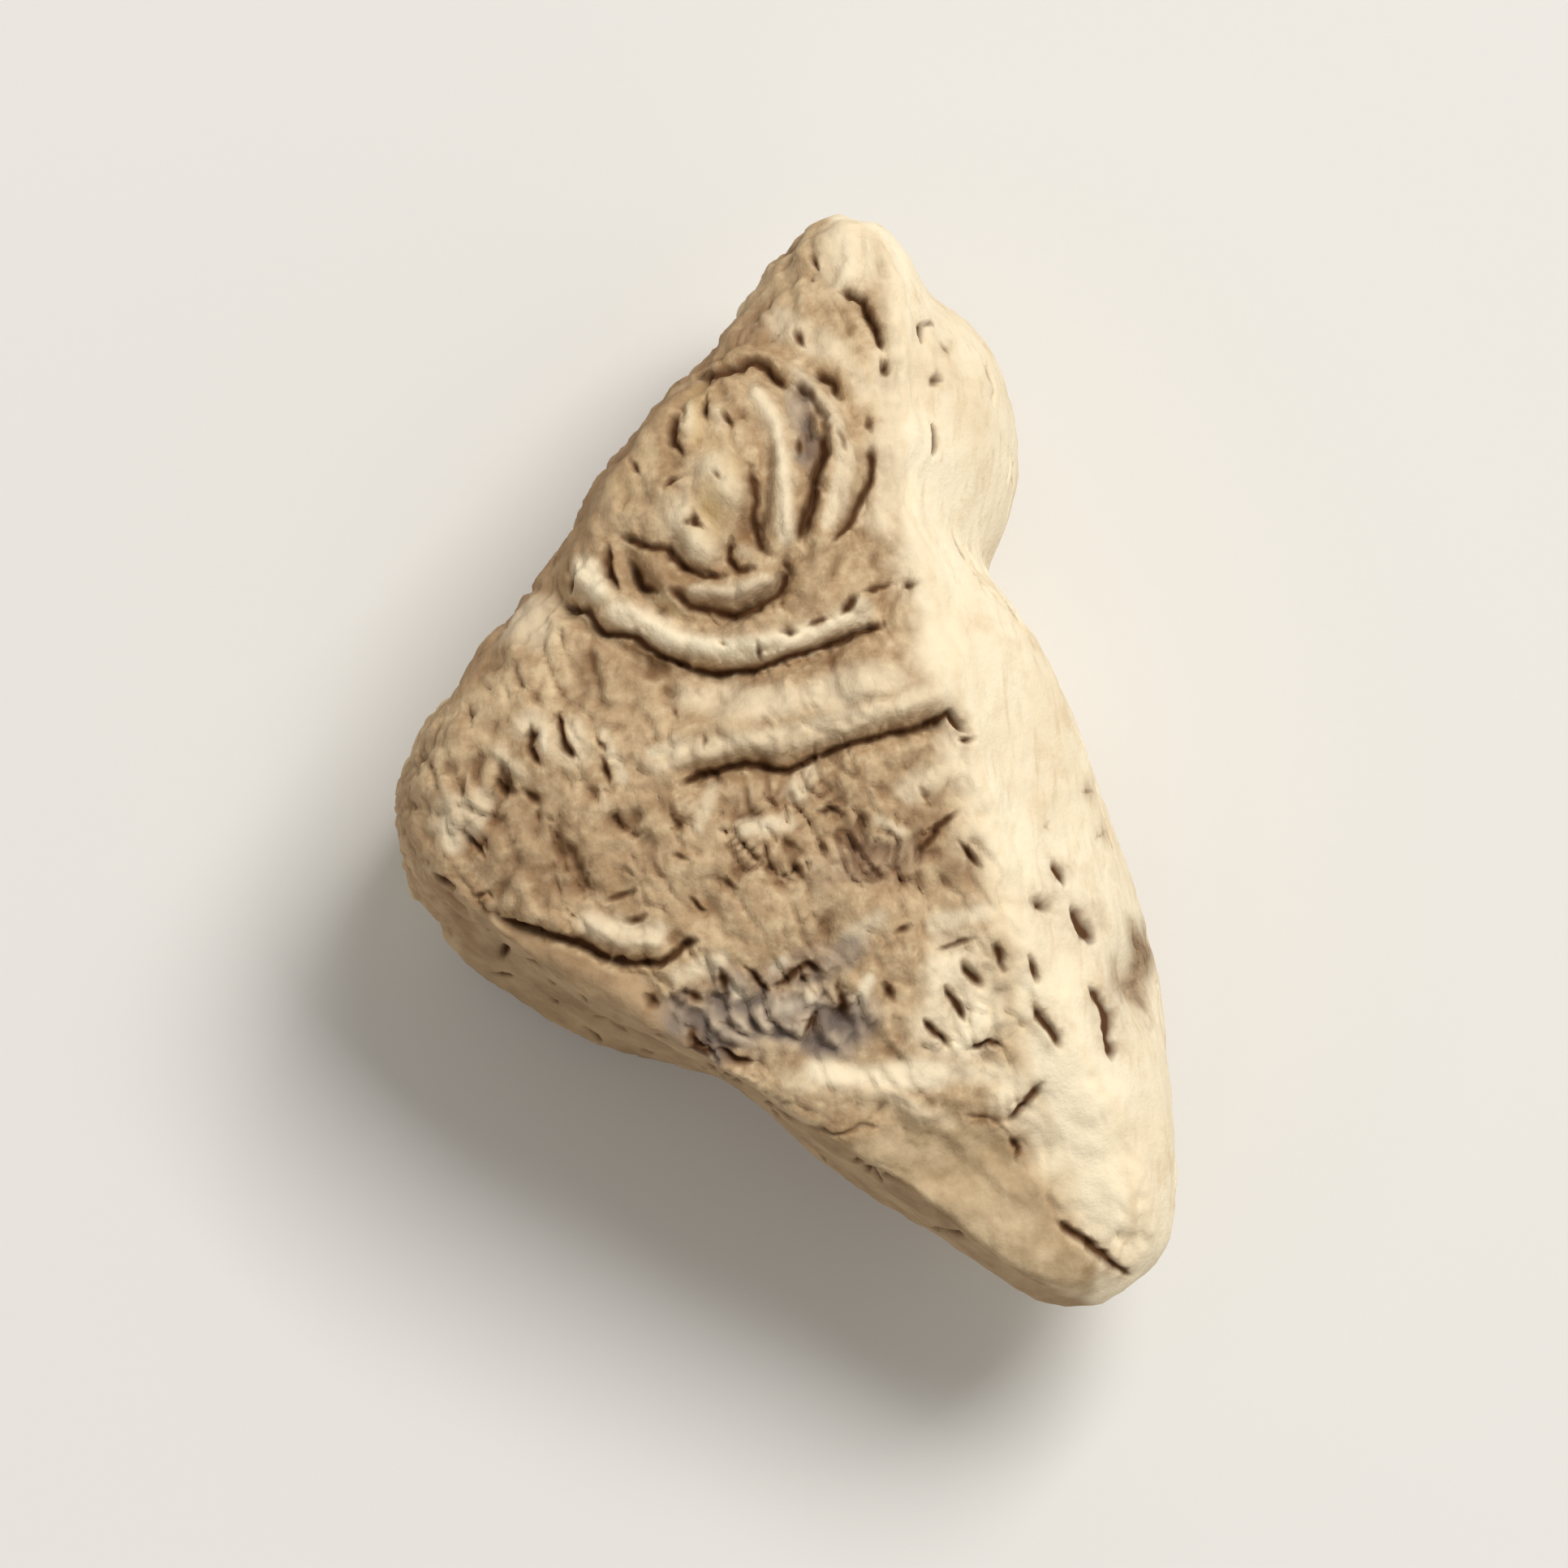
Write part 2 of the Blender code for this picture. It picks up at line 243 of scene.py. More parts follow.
CRACKS = {
    "below_ridge": (0.19, 0.36, ((-1.6, -0.85), (-0.6, -0.52), (0.35, -0.62), (1.1, -0.18), (2.8, 0.2))),
    "bark_edge": (0.20, 0.38, ((-4.9, -2.9), (-4.2, -2.95), (-3.1, -3.3), (-2.1, -3.75), (-1.4, -4.7))),
    "apex": (0.20, 0.32, ((0.9, 7.05), (1.4, 6.7), (1.8, 5.6))),
    "lobe_foot": (0.24, 0.30, ((2.15, 6.9), (2.35, 5.8), (2.5, 4.7))),
}
CRACK_FADE = 0.6
BROAD_CRACK_SHARE = 0.6
BROAD_GROOVE_SHARE = 0.7
HOLLOWS = {
    "left_notch": ((-5.1, -3.5, 4.6), 1.2, 0.8, 0.35),
    "left_dimple": ((-6.1, -2.1, 5.6), 0.5, 0.5, 0.30),
    "tip_hollow": ((2.8, -6.6, 6.6), 1.9, 0.8, 0.45),
    "charcoal_hollow": ((0.1, -4.3, 7.8), 1.5, 0.8, 0.25),
    "right_nick": ((6.0, -3.4, 5.2), 0.6, 0.6, 0.40),
    "under_bark_lip": ((-1.6, 0.6, 8.3), 1.6, 0.45, 0.16),
    "right_side_dish": ((5.4, -1.4, 2.2), 1.6, 2.6, 0.30),
    "lower_left_dish": ((-1.4, -5.4, 3.4), 2.8, 1.6, 0.50),
    "flank_dish": ((-3.2, 2.6, 3.2), 1.8, 2.2, 0.40),
    "apex_dish": ((1.2, 8.2, 3.6), 1.4, 1.2, 0.30),
}
WARP_LENGTH = 3.2
WARP_HEIGHT = 0.26
WARP_FULL_FROM_Z = 1.0
WRINKLE_LENGTH = 0.95
WRINKLE_HEIGHT = 0.17
BARK_FADE_SLOPE = 0.45
BARK_FULL_SLOPE = 0.75


def stem_scar(x, y):
    """Height of the stem scar: a low dome with a knob, and grooves that leave rings between them."""
    tilt = math.radians(SCAR_TILT)
    right = (x - SCAR_X) * math.cos(tilt) - (y - SCAR_Y) * math.sin(tilt)
    up = (x - SCAR_X) * math.sin(tilt) + (y - SCAR_Y) * math.cos(tilt)
    away = np.hypot(right, up)
    angle = np.degrees(np.arctan2(up, right))
    height = SCAR_DOME * (1.0 - smooth_step(away, SCAR_DOME_FLAT, SCAR_DOME_RADIUS))
    height += SCAR_KNOB * bell(away, SCAR_KNOB_RADIUS)
    for half_width, half_height, depth, facing, spread in SCAR_GROOVES:
        level = np.hypot(right / half_width, up / half_height)
        from_groove = (level - 1.0) * 0.5 * (half_width + half_height)
        turned = np.abs((angle - facing + 180.0) % 360.0 - 180.0)
        there = 1.0 - smooth_step(turned, spread - SCAR_GROOVE_FADE, spread)
        height -= BROAD_GROOVE_SHARE * depth * there * bell(from_groove, SCAR_GROOVE_WIDTH)
    return height


def leaf_ridge(x, y):
    """Height of the ridge across the bark."""
    from_crest = y - RIDGE_Y - RIDGE_RISE * (x - RIDGE_LEFT_X)
    inside = smooth_step(x, RIDGE_LEFT_X - RIDGE_FADE, RIDGE_LEFT_X + RIDGE_FADE)
    inside *= 1.0 - smooth_step(x, RIDGE_RIGHT_X - RIDGE_FADE, RIDGE_RIGHT_X + RIDGE_FADE)
    return RIDGE_HEIGHT * inside * bell(from_crest, RIDGE_WIDTH)


def cracks(x, y):
    """Height of the broad cracks in the bark side, below zero. They fade out towards their ends."""
    height = np.zeros(len(x))
    for half_width, depth, path in CRACKS.values():
        away, from_end = path_distance(x, y, path)
        height -= depth * bell(away, half_width) * smooth_step(from_end, 0.0, CRACK_FADE)
    return height


def hollows(points):
    """Height of the hollows, below zero."""
    height = np.zeros(len(points))
    for place, half_width, half_length, depth in HOLLOWS.values():
        size = (half_width, half_length, max(half_width, half_length))
        away = np.linalg.norm((points - place) / size, axis=1)
        height -= depth * bell(away, 1.0)
    return height


def broad_relief(points, normals):
    """Height of the relief that is wide enough to see from a step away."""
    x = points[:, 0]
    y = points[:, 1]
    up = smooth_step(normals[:, 2], BARK_FADE_SLOPE, BARK_FULL_SLOPE)
    above_rest = smooth_step(points[:, 2], 0.0, WARP_FULL_FROM_Z)
    height = hollows(points) + above_rest * WARP_HEIGHT * uneven(points, WARP_LENGTH)
    height += up * (stem_scar(x, y) + leaf_ridge(x, y) + BROAD_CRACK_SHARE * cracks(x, y))
    return height + up * WRINKLE_HEIGHT * uneven(points, WRINKLE_LENGTH)


# Fine lines on the bark side are placed as they look from the camera: x across the picture, and y up it,
# which is y with a little of the height in it.
VIEW_ELEVATION = 82.0
VIEW_DROP = 0.87

# Thin cracks, creases and grooves: half width, depth, and the few points that each runs through.
FINE_CRACKS = (
    # the apex and the swelling beside it
    (0.075, 0.20, ((0.97, 7.12), (1.35, 6.96), (1.54, 6.51), (1.66, 6.2))),
    (0.09, 0.16, ((1.66, 6.02), (1.76, 5.84))),
    (0.07, 0.14, ((0.25, 6.52), (0.46, 6.28))),
    (0.10, 0.20, ((2.34, 6.66), (2.42, 6.62))),
    (0.07, 0.12, ((0.5, 7.68), (0.62, 7.52))),
    (0.06, 0.09, ((2.56, 6.35), (2.75, 6.12))),
    (0.12, 0.25, ((2.53, 5.82), (2.51, 5.72))),
    # the arc over the scar, and short upright grooves under it
    (0.09, 0.20, ((-1.25, 5.82), (-0.96, 5.8), (-0.63, 5.89), (-0.4, 6.03), (-0.16, 5.94), (0.08, 5.6))),
    (0.075, 0.18, ((-1.58, 5.25), (-1.63, 4.76), (-1.5, 4.6))),
    (0.07, 0.15, ((-1.13, 5.5), (-1.12, 5.08))),
    (0.06, 0.13, ((-0.84, 5.25), (-0.73, 4.98))),
    (0.06, 0.12, ((-2.34, 4.54), (-2.14, 4.27))),
    # grooves between the rings, from the knob outwards
    (0.085, 0.17, ((-0.42, 4.35), (-0.33, 3.91), (-0.35, 3.53), (-0.26, 3.2), (-0.15, 3.02))),
    (0.07, 0.15, ((-0.72, 3.3), (-0.74, 2.95), (-0.6, 2.77), (-0.36, 2.8))),
    (0.075, 0.16, ((-2.4, 3.3), (-2.0, 3.12), (-1.72, 3.08), (-1.44, 2.8), (-1.15, 2.66), (-0.8, 2.66))),
    (0.06, 0.13, ((-1.8, 4.02), (-1.66, 4.17), (-1.5, 4.22))),
    (0.06, 0.12, ((-1.02, 4.3), (-0.86, 4.18))),
    (0.06, 0.16, ((-1.28, 3.68), (-1.26, 3.48), (-1.12, 3.38))),
    (0.06, 0.16, ((-1.27, 3.5), (-1.47, 3.44))),
    (0.09, 0.20, ((0.74, 4.9), (0.74, 4.6), (0.6, 4.2), (0.5, 3.8), (0.38, 3.22))),
    (0.07, 0.10, ((0.2, 5.66), (0.5, 5.52), (0.74, 5.15), (0.75, 4.85))),
    (0.065, 0.13, ((0.36, 4.85), (0.33, 4.55))),
    (0.06, 0.09, ((0.5, 5.0), (0.44, 4.75))),
    (0.065, 0.09, ((0.93, 4.98), (1.08, 4.6))),
    (0.09, 0.17, ((0.6, 5.82), (0.9, 5.67), (1.0, 5.45))),
    (0.07, 0.13, ((1.4, 5.16), (1.45, 4.93))),
    (0.075, 0.15, ((1.49, 4.68), (1.47, 4.24), (1.3, 3.82), (1.18, 3.52), (0.9, 3.2))),
    (
        0.10,
        0.17,
        ((-1.64, 2.46), (-1.34, 2.2), (-1.0, 2.15), (-0.73, 2.04), (-0.35, 2.16), (0.0, 2.4), (0.2, 2.75)),
    ),
    (0.08, 0.14, ((0.12, 2.95), (0.2, 2.7))),
    (0.08, 0.18, ((-2.66, 3.15), (-2.7, 2.92), (-2.5, 2.48))),
    (0.10, 0.18, ((-2.2, 2.9), (-2.1, 2.5), (-1.88, 2.44))),
    (0.08, 0.12, ((-3.18, 2.76), (-3.25, 2.4))),
    # the lip under the scar, and the dashes along it
    (
        0.075,
        0.19,
        ((-3.3, 2.2), (-2.95, 2.12), (-2.7, 1.82), (-2.25, 1.78), (-2.0, 1.57), (-1.67, 1.41), (-1.29, 1.22)),
    ),
    (
        0.075,
        0.19,
        ((-1.4, 1.24), (-0.82, 1.2), (-0.35, 1.24), (0.12, 1.41), (0.6, 1.55), (1.07, 1.71), (1.65, 1.95)),
    ),
    (0.075, 0.15, ((0.07, 1.8), (0.31, 1.84))),
    (0.05, 0.12, ((0.48, 1.92), (0.84, 2.05))),
    (0.075, 0.15, ((0.98, 2.12), (1.28, 2.38))),
    (0.055, 0.12, ((1.32, 2.42), (1.6, 2.52), (1.84, 2.54))),
    (0.07, 0.14, ((1.95, 2.53), (2.23, 2.59))),
    (0.06, 0.12, ((-0.31, 1.66), (-0.21, 1.36))),
    (0.06, 0.12, ((-1.25, 1.89), (-1.15, 1.83))),
    (0.06, 0.12, ((-0.88, 1.66), (-0.78, 1.62))),
    # dashes on the left of the bark
    (0.075, 0.17, ((-3.85, 0.38), (-3.88, 0.07), (-3.67, -0.23))),
    (0.07, 0.15, ((-3.42, 0.53), (-3.33, 0.13), (-3.16, -0.17))),
    (0.065, 0.13, ((-2.82, 0.16), (-2.72, -0.04))),
    (0.07, 0.14, ((-2.74, -0.17), (-2.6, -0.53))),
    (0.07, 0.14, ((-4.4, -0.5), (-4.26, -0.76))),
    (0.07, 0.13, ((-3.97, -0.64), (-3.72, -0.88))),
    (0.06, 0.10, ((-5.0, -0.5), (-4.96, -0.74))),
    (0.09, 0.13, ((-5.74, -0.86), (-5.64, -0.9))),
    (0.065, 0.13, ((-4.86, -1.3), (-4.58, -1.7))),
    (0.065, 0.12, ((-5.4, -1.94), (-5.06, -2.18))),
    (0.06, 0.12, ((-4.77, -2.34), (-4.52, -2.22))),
    (0.06, 0.11, ((-2.7, -2.4), (-2.2, -2.2))),
    (0.075, 0.12, ((-2.38, -2.7), (-2.05, -2.58))),
    (0.055, 0.10, ((-1.67, 0.66), (-1.57, 0.46))),
    (0.06, 0.11, ((-1.12, 0.2), (-1.12, 0.0))),
    # the crack under the ridge
    (
        0.075,
        0.20,
        ((-1.5, -0.58), (-1.24, -0.41), (-0.5, -0.24), (0.2, -0.36), (0.46, -0.17), (0.68, -0.04)),
    ),
    (0.075, 0.20, ((0.6, -0.1), (1.04, 0.07), (1.68, 0.19), (2.25, 0.34), (2.72, 0.53), (3.0, 0.28))),
    (0.075, 0.14, ((2.86, 0.16), (3.1, 0.13))),
    # marks in the scaly band
    (0.065, 0.12, ((-1.64, -1.04), (-1.5, -1.3))),
    (0.06, 0.10, ((-1.62, -1.62), (-1.4, -1.73))),
    (0.09, 0.13, ((0.66, -0.97), (0.9, -0.95))),
    (0.065, 0.12, ((-1.34, -2.3), (-1.12, -2.54))),
    (0.065, 0.13, ((2.24, -1.6), (2.5, -1.2), (2.78, -1.0))),
    (0.06, 0.12, ((2.84, -1.45), (3.2, -1.85))),
    (0.06, 0.11, ((2.26, -0.6), (2.36, -0.85))),
    (0.06, 0.12, ((1.82, -2.9), (2.1, -2.72))),
    (0.055, 0.11, ((2.46, -3.14), (3.08, -2.93))),
    (0.06, 0.10, ((-0.9, -2.0), (-0.6, -2.2))),
    # the bark's torn edge over the lower left cut
    (
        0.085,
        0.20,
        ((-4.4, -2.68), (-4.03, -2.78), (-3.73, -2.84), (-3.3, -2.96), (-2.94, -3.11), (-2.57, -3.3)),
    ),
    (0.085, 0.20, ((-2.65, -3.27), (-2.21, -3.36), (-1.85, -3.33), (-1.6, -3.15), (-1.24, -2.98))),
    (0.11, 0.20, ((-2.05, -3.88), (-1.9, -3.98))),
    # the charcoal patch
    (0.08, 0.17, ((-1.44, -3.8), (-1.14, -3.9))),
    (0.08, 0.17, ((-1.42, -4.35), (-1.3, -4.7), (-1.05, -4.8))),
    (0.08, 0.17, ((-0.9, -4.75), (-0.38, -4.9))),
    (0.07, 0.14, ((-0.88, -3.42), (-0.83, -3.78))),
    (0.07, 0.15, ((-0.46, -3.4), (-0.14, -3.7))),
    (0.07, 0.14, ((-0.02, -3.64), (0.28, -3.5), (0.52, -3.33), (0.72, -3.43))),
    (0.07, 0.14, ((0.98, -3.74), (1.08, -4.14))),
    (0.06, 0.12, ((0.6, -4.05), (0.44, -4.44))),
    (0.07, 0.13, ((1.66, -3.66), (1.84, -3.9))),
    # slits between the bark and the right-hand cut
    (0.075, 0.17, ((3.42, -3.02), (3.53, -3.42))),
    (0.085, 0.18, ((2.88, -3.3), (3.17, -3.7))),
    (0.08, 0.17, ((2.64, -3.72), (2.95, -4.22))),
    (0.085, 0.17, ((2.3, -4.2), (2.7, -4.6))),
    (0.06, 0.13, ((3.04, -4.66), (3.25, -4.54), (3.54, -4.64))),
    (0.09, 0.18, ((4.05, -4.02), (4.44, -4.6))),
    (0.075, 0.16, ((4.95, -3.65), (5.2, -4.05), (5.32, -4.76))),
    (0.07, 0.15, ((3.62, -5.76), (3.86, -5.52), (4.18, -5.22))),
    (0.06, 0.12, ((3.66, -6.02), (3.82, -6.19), (3.74, -6.4))),
    (0.075, 0.17, ((4.33, -1.74), (4.5, -2.15))),
    (0.15, 0.27, ((4.17, -2.36), (4.26, -2.42))),
    (0.115, 0.22, ((4.66, -2.5), (4.94, -2.96))),
    (0.05, 0.08, ((4.76, -0.72), (5.2, -0.54))),
    (0.045, 0.07, ((5.0, -1.45), (5.55, -1.0))),
    (0.06, 0.10, ((4.2, -1.2), (4.3, -1.15))),
    (0.07, 0.12, ((6.05, -2.4), (6.0, -3.3))),
    (0.075, 0.14, ((5.62, -3.85), (5.86, -4.15), (5.92, -4.45))),
    (0.07, 0.15, ((3.97, -3.22), (4.06, -3.62))),
    (0.075, 0.16, ((4.4, -7.36), (5.06, -7.84), (5.6, -8.3))),
    (0.05, 0.08, ((0.5, -5.85), (0.85, -6.02), (1.3, -5.88), (1.6, -5.86))),
    (0.04, 0.06, ((2.9, -5.68), (3.3, -5.74), (3.62, -5.95))),
)
CRACK_TAPER = 0.24
CRACK_WANDER = ((0.055, 0.42), (0.028, 0.15))
CRACK_SWELL = 0.34
CRACK_SWELL_LENGTH = 0.26
CRACK_LIP = 0.26
CRACK_LIP_PLACE = 2.1
HALO_REACH = 3.2
# Depth at which a thin line's painted shade is full.
FULL_DARK_DEPTH = 0.13

# Small raised forms: half width, height, and the points that each runs through.
FINE_RIDGES = (
    (0.22, 0.20, ((-2.95, 2.6), (-2.75, 2.45))),
    (0.20, 0.07, ((-2.5, 2.15), (-1.6, 1.72), (-0.8, 1.58), (0.1, 1.68), (1.0, 1.95))),
    (0.11, 0.12, ((-1.36, 5.3), (-1.36, 4.85))),
    (0.10, 0.10, ((-0.97, 5.3), (-0.9, 5.0))),
    (0.26, 0.17, ((-0.98, 4.35), (-0.72, 4.02))),
    (0.30, 0.14, ((-1.45, 3.55), (-1.2, 3.1))),
    (0.13, 0.16, ((-0.5, 3.06), (-0.47, 3.04))),
    (0.12, 0.13, ((-1.3, 2.42), (-0.7, 2.42), (-0.1, 2.62))),
    (0.14, 0.12, ((-0.3, 5.55), (0.0, 5.0), (0.1, 4.2), (0.12, 3.3))),
    (0.14, 0.10, ((0.25, 5.95), (0.85, 5.3), (1.12, 4.5), (1.0, 3.6))),
    (0.10, 0.12, ((-3.66, 0.28), (-3.58, 0.02))),
    (0.11, 0.11, ((-3.1, 0.45), (-3.0, 0.15))),
    (0.10, 0.10, ((-4.4, 0.0), (-3.95, -0.4))),
    (0.13, 0.08, ((-2.0, -0.3), (-1.3, -0.1), (-0.4, 0.02), (0.4, 0.1), (1.2, 0.4), (2.5, 0.8))),
    (0.12, 0.11, ((-2.9, -2.75), (-2.4, -3.0), (-1.8, -2.95))),
    (0.09, 0.12, ((-0.66, -3.55), (-0.45, -3.85))),
    (0.10, 0.10, ((0.1, -3.85), (0.6, -3.7))),
    (0.10, 0.10, ((0.75, -4.1), (0.8, -4.5))),
    (0.14, 0.10, ((3.1, -3.2), (2.9, -4.0))),
    (0.16, 0.08, ((0.2, -5.15), (1.5, -5.15), (2.6, -5.85), (3.6, -6.8))),
)

# Wrinkles of the dry bark: lengths across and along them, lean, width and depth. Then the length and height
# of its lumps, of its grain, and of the scales in the charcoal patch.
WRINKLES = (
    (0.36, 1.05, 28.0, 0.15, 0.17),
    (0.25, 0.50, -52.0, 0.14, 0.10),
)
LUMPS = ((0.60, 0.12), (0.30, 0.07))
GRAIN_LENGTH = 0.12
GRAIN_HEIGHT = 0.014
CHARCOAL_LENGTH = 0.30
CHARCOAL_HEIGHT = 0.16

# The bark's flank, which the picture doesn't show: upright folds, broad lumps, and the scars of thin roots,
# each with its radius and a point near it.
FOLD_LENGTH = 1.9
FOLD_SHARE = 0.30
FOLD_DEPTH = 0.05
FOLD_WIDTH = 0.16
FLANK_LUMP_LENGTH = 1.2
FLANK_LUMP_HEIGHT = 0.09
ROOT_RIM = 0.05
ROOT_PIT = 0.13
ROOT_SCARS = (
    (0.40, (-2.4, 4.6, 3.6)),
    (0.22, (-4.2, 2.2, 2.6)),
    (0.17, (-1.2, 6.2, 4.9)),
    (0.34, (-5.2, 0.8, 4.4)),
    (0.15, (-6.2, -0.8, 3.0)),
    (0.19, (-3.9, 2.9, 5.6)),
    (0.27, (-0.4, 7.4, 2.9)),
)

# Short dry creases all over the bark: how many are tried, their half length, half width and depth, how they
# lean, and how much any short line bends.
CREASE_SEED = 5
CREASE_TRIES = 1500
CREASE_SIZES = ((0.05, 0.20), (0.040, 0.065), (0.04, 0.14))
CREASE_LEAN = (-62.0, 30.0)
LINE_BEND = 0.18

# Slits in the cut faces, where bundles of fibre shrank, the fine ribs of the fibre itself, and the shallow
# groove in the flesh beside the bark's edge.
SLIT_SEED = 11
SLIT_TRIES = 460
SLIT_SIZES = ((0.10, 0.34), (0.045, 0.080), (0.09, 0.20))
FIBRE_WIDTH = 0.20
FIBRE_LENGTH = 2.4
FIBRE_LEAN = 52.0
FIBRE_HEIGHT = 0.020
EDGE_GROOVE_DEPTH = 0.09
EDGE_GROOVE_PLACE = 0.38
EDGE_GROOVE_WIDTH = 0.30

# How the height of the texture becomes the mask that paints shade into its valleys and highlight onto its
# tops.
RELIEF_MIDDLE = 0.5
RELIEF_GAIN = 3.2


def as_seen(points):
    """Where points lie across and up the picture."""
    elevation = math.radians(VIEW_ELEVATION)
    up = points[:, 1] * math.sin(elevation) + points[:, 2] * math.cos(elevation) - VIEW_DROP
    return points[:, 0], up


def bark_lead(points):
    """How far the bark leads over the cut faces: above zero on bark, below zero on cut flesh."""
    bark = bark_round(points)
    for angle, lean, reach, _ in BARK_SIDES.values():
        bark = np.maximum(bark, flat_face(points, angle, lean, reach, RIM_HEIGHT))
    cut = np.full(len(points), -SEARCH_REACH)
    for angle, lean, reach, _ in CUT_SIDES.values():
        cut = np.maximum(cut, flat_face(points, angle, lean, reach, RIM_HEIGHT))
    cut = np.maximum(cut, waist(points))
    on_lobe = smooth_step(np.maximum(bark, cut), 0.02, 0.20)
    for angle, lean, reach, _ in UNDER_CUTS.values():
        cut = np.maximum(cut, flat_face(points, angle, lean, reach, 0.0))
    cut = np.maximum(cut, -points[:, 2])
    return bark - cut - on_lobe * 2.0


def patch(x, y, bands, ragged):
    """How far each point lies in any of some bands: half width, strength and the path of each."""
    share = np.zeros(len(x))
    for half_width, strength, path in bands:
        away, _ = path_distance(x, y, path)
        share = np.maximum(share, strength * smooth_step(1.0 - away / half_width + ragged, 0.0, 0.85))
    return share


def below(x, y, border, softness):
    """How far each point lies below a border drawn from left to right; nothing beyond the border's ends."""
    xs, ys = zip(*border)
    share = smooth_step(np.interp(x, xs, ys) - y, 0.0, softness)
    return share * smooth_step(x, xs[0] - softness, xs[0]) * (1.0 - smooth_step(x, xs[-1], xs[-1] + softness))


def lines(x, y, table, swell):
    """Depth, darkness and wider soft halo of the lines in a table, at each point."""
    height = np.zeros(len(x))
    shade = np.zeros(len(x))
    halo = np.zeros(len(x))
    for half_width, size, path in table:
        xs, ys = zip(*path)
        reach = 2.0 * HALO_REACH * half_width
        near = (x > min(xs) - reach) & (x < max(xs) + reach) & (y > min(ys) - reach) & (y < max(ys) + reach)
        away, from_end = path_distance(x[near], y[near], path)
        taper = smooth_step(from_end + half_width, 0.0, CRACK_TAPER)
        width = half_width * swell[near] * (0.6 + 0.4 * taper)
        form = bell(away, width) * (0.35 + 0.65 * taper)
        lip = CRACK_LIP * bell(away - CRACK_LIP_PLACE * width, width) * taper
        height[near] = np.maximum(height[near], size * (form - lip))
        shade[near] = np.maximum(shade[near], form * min(1.0, size / FULL_DARK_DEPTH))
        halo[near] = np.maximum(halo[near], bell(away, HALO_REACH * width) * taper)
    return height, shade, halo


def wrinkle(points, x, y, across, along, lean):
    """Noise drawn out along one direction of the picture, in waves of the given lengths."""
    lean = math.radians(lean)
    over = (x * math.cos(lean) + y * math.sin(lean)) / across
    on = (y * math.cos(lean) - x * math.sin(lean)) / along
    return uneven(np.stack([over, on, points[:, 2] / along], axis=1), 1.0)


def short_lines(seed, tries, wanted, fibre_of, sizes):
    """Place, direction, bend, half length, half width and depth of short lines strewn over the body."""
    random = np.random.default_rng(seed)
    directions = random.normal(size=(tries, 3))
    directions /= np.linalg.norm(directions, axis=1)[:, None]
    places = on_body(directions)
    normals = body_normals(places)
    kept = wanted(places, normals)
    found = []
    for place, normal in zip(places[kept], normals[kept]):
        fibre = fibre_of(normal, random)
        fibre -= normal * np.dot(fibre, normal)
        fibre /= np.linalg.norm(fibre)
        half_length, half_width, depth = (random.uniform(*size) for size in sizes)
        bend = np.cross(normal, fibre) * random.normal(0.0, LINE_BEND) / half_length
        found.append((place, fibre, bend, half_length, half_width, depth))
    return found


def on_cut(places, normals):
    """Where slits may open: cut flesh off the floor, outside the part whose slits were placed one by one."""
    placed = (normals[:, 2] > 0.3) & (places[:, 0] > 2.4) & (places[:, 1] < 4.0)
    return (bark_lead(places) < -0.25) & (places[:, 2] > 0.5) & ~placed


def on_bark(places, normals):
    """Where short creases may open: on bark."""
    return bark_lead(places) > 0.05


def fibre_in_cut(normal, random):
    """The way a slit runs in a cut face: along the rhizome, or upwards in its ends."""
    if abs(normal[1]) > 0.8:
        return np.array([random.normal(0.0, 0.6), 0.0, 1.0])
    return np.array([random.normal(0.0, 0.25), 1.0, random.normal(0.0, 0.35)])


def crease_in_bark(normal, random):
    """The way a short crease runs in the bark."""
    lean = math.radians(random.normal(*CREASE_LEAN))
    return np.array([math.cos(lean), math.sin(lean), random.normal(0.0, 0.2)])


def short_line_forms(points, found):
    """Depth and shade of the short lines at each point."""
    height = np.zeros(len(points))
    shade = np.zeros(len(points))
    order = np.argsort(points[:, 0])
    sorted_x = points[order, 0]
    for place, fibre, bend, half_length, half_width, depth in found:
        reach = half_length + 4.0 * half_width
        first, last = np.searchsorted(sorted_x, (place[0] - reach, place[0] + reach))
        near = order[first:last]
        offset = points[near] - place
        close = np.abs(offset).max(axis=1) < reach
        near = near[close]
        offset = offset[close]
        along = offset @ fibre
        beyond = np.clip(np.abs(along) / half_length, 0.0, 1.0)
        nearest = np.clip(along, -half_length, half_length)[:, None]
        away = np.linalg.norm(offset - nearest * fibre - nearest**2 * bend, axis=1)
        form = bell(away, half_width * (1.0 - 0.5 * beyond**2))
        height[near] = np.maximum(height[near], depth * form)
        shade[near] = np.maximum(shade[near], form)
    return height, shade
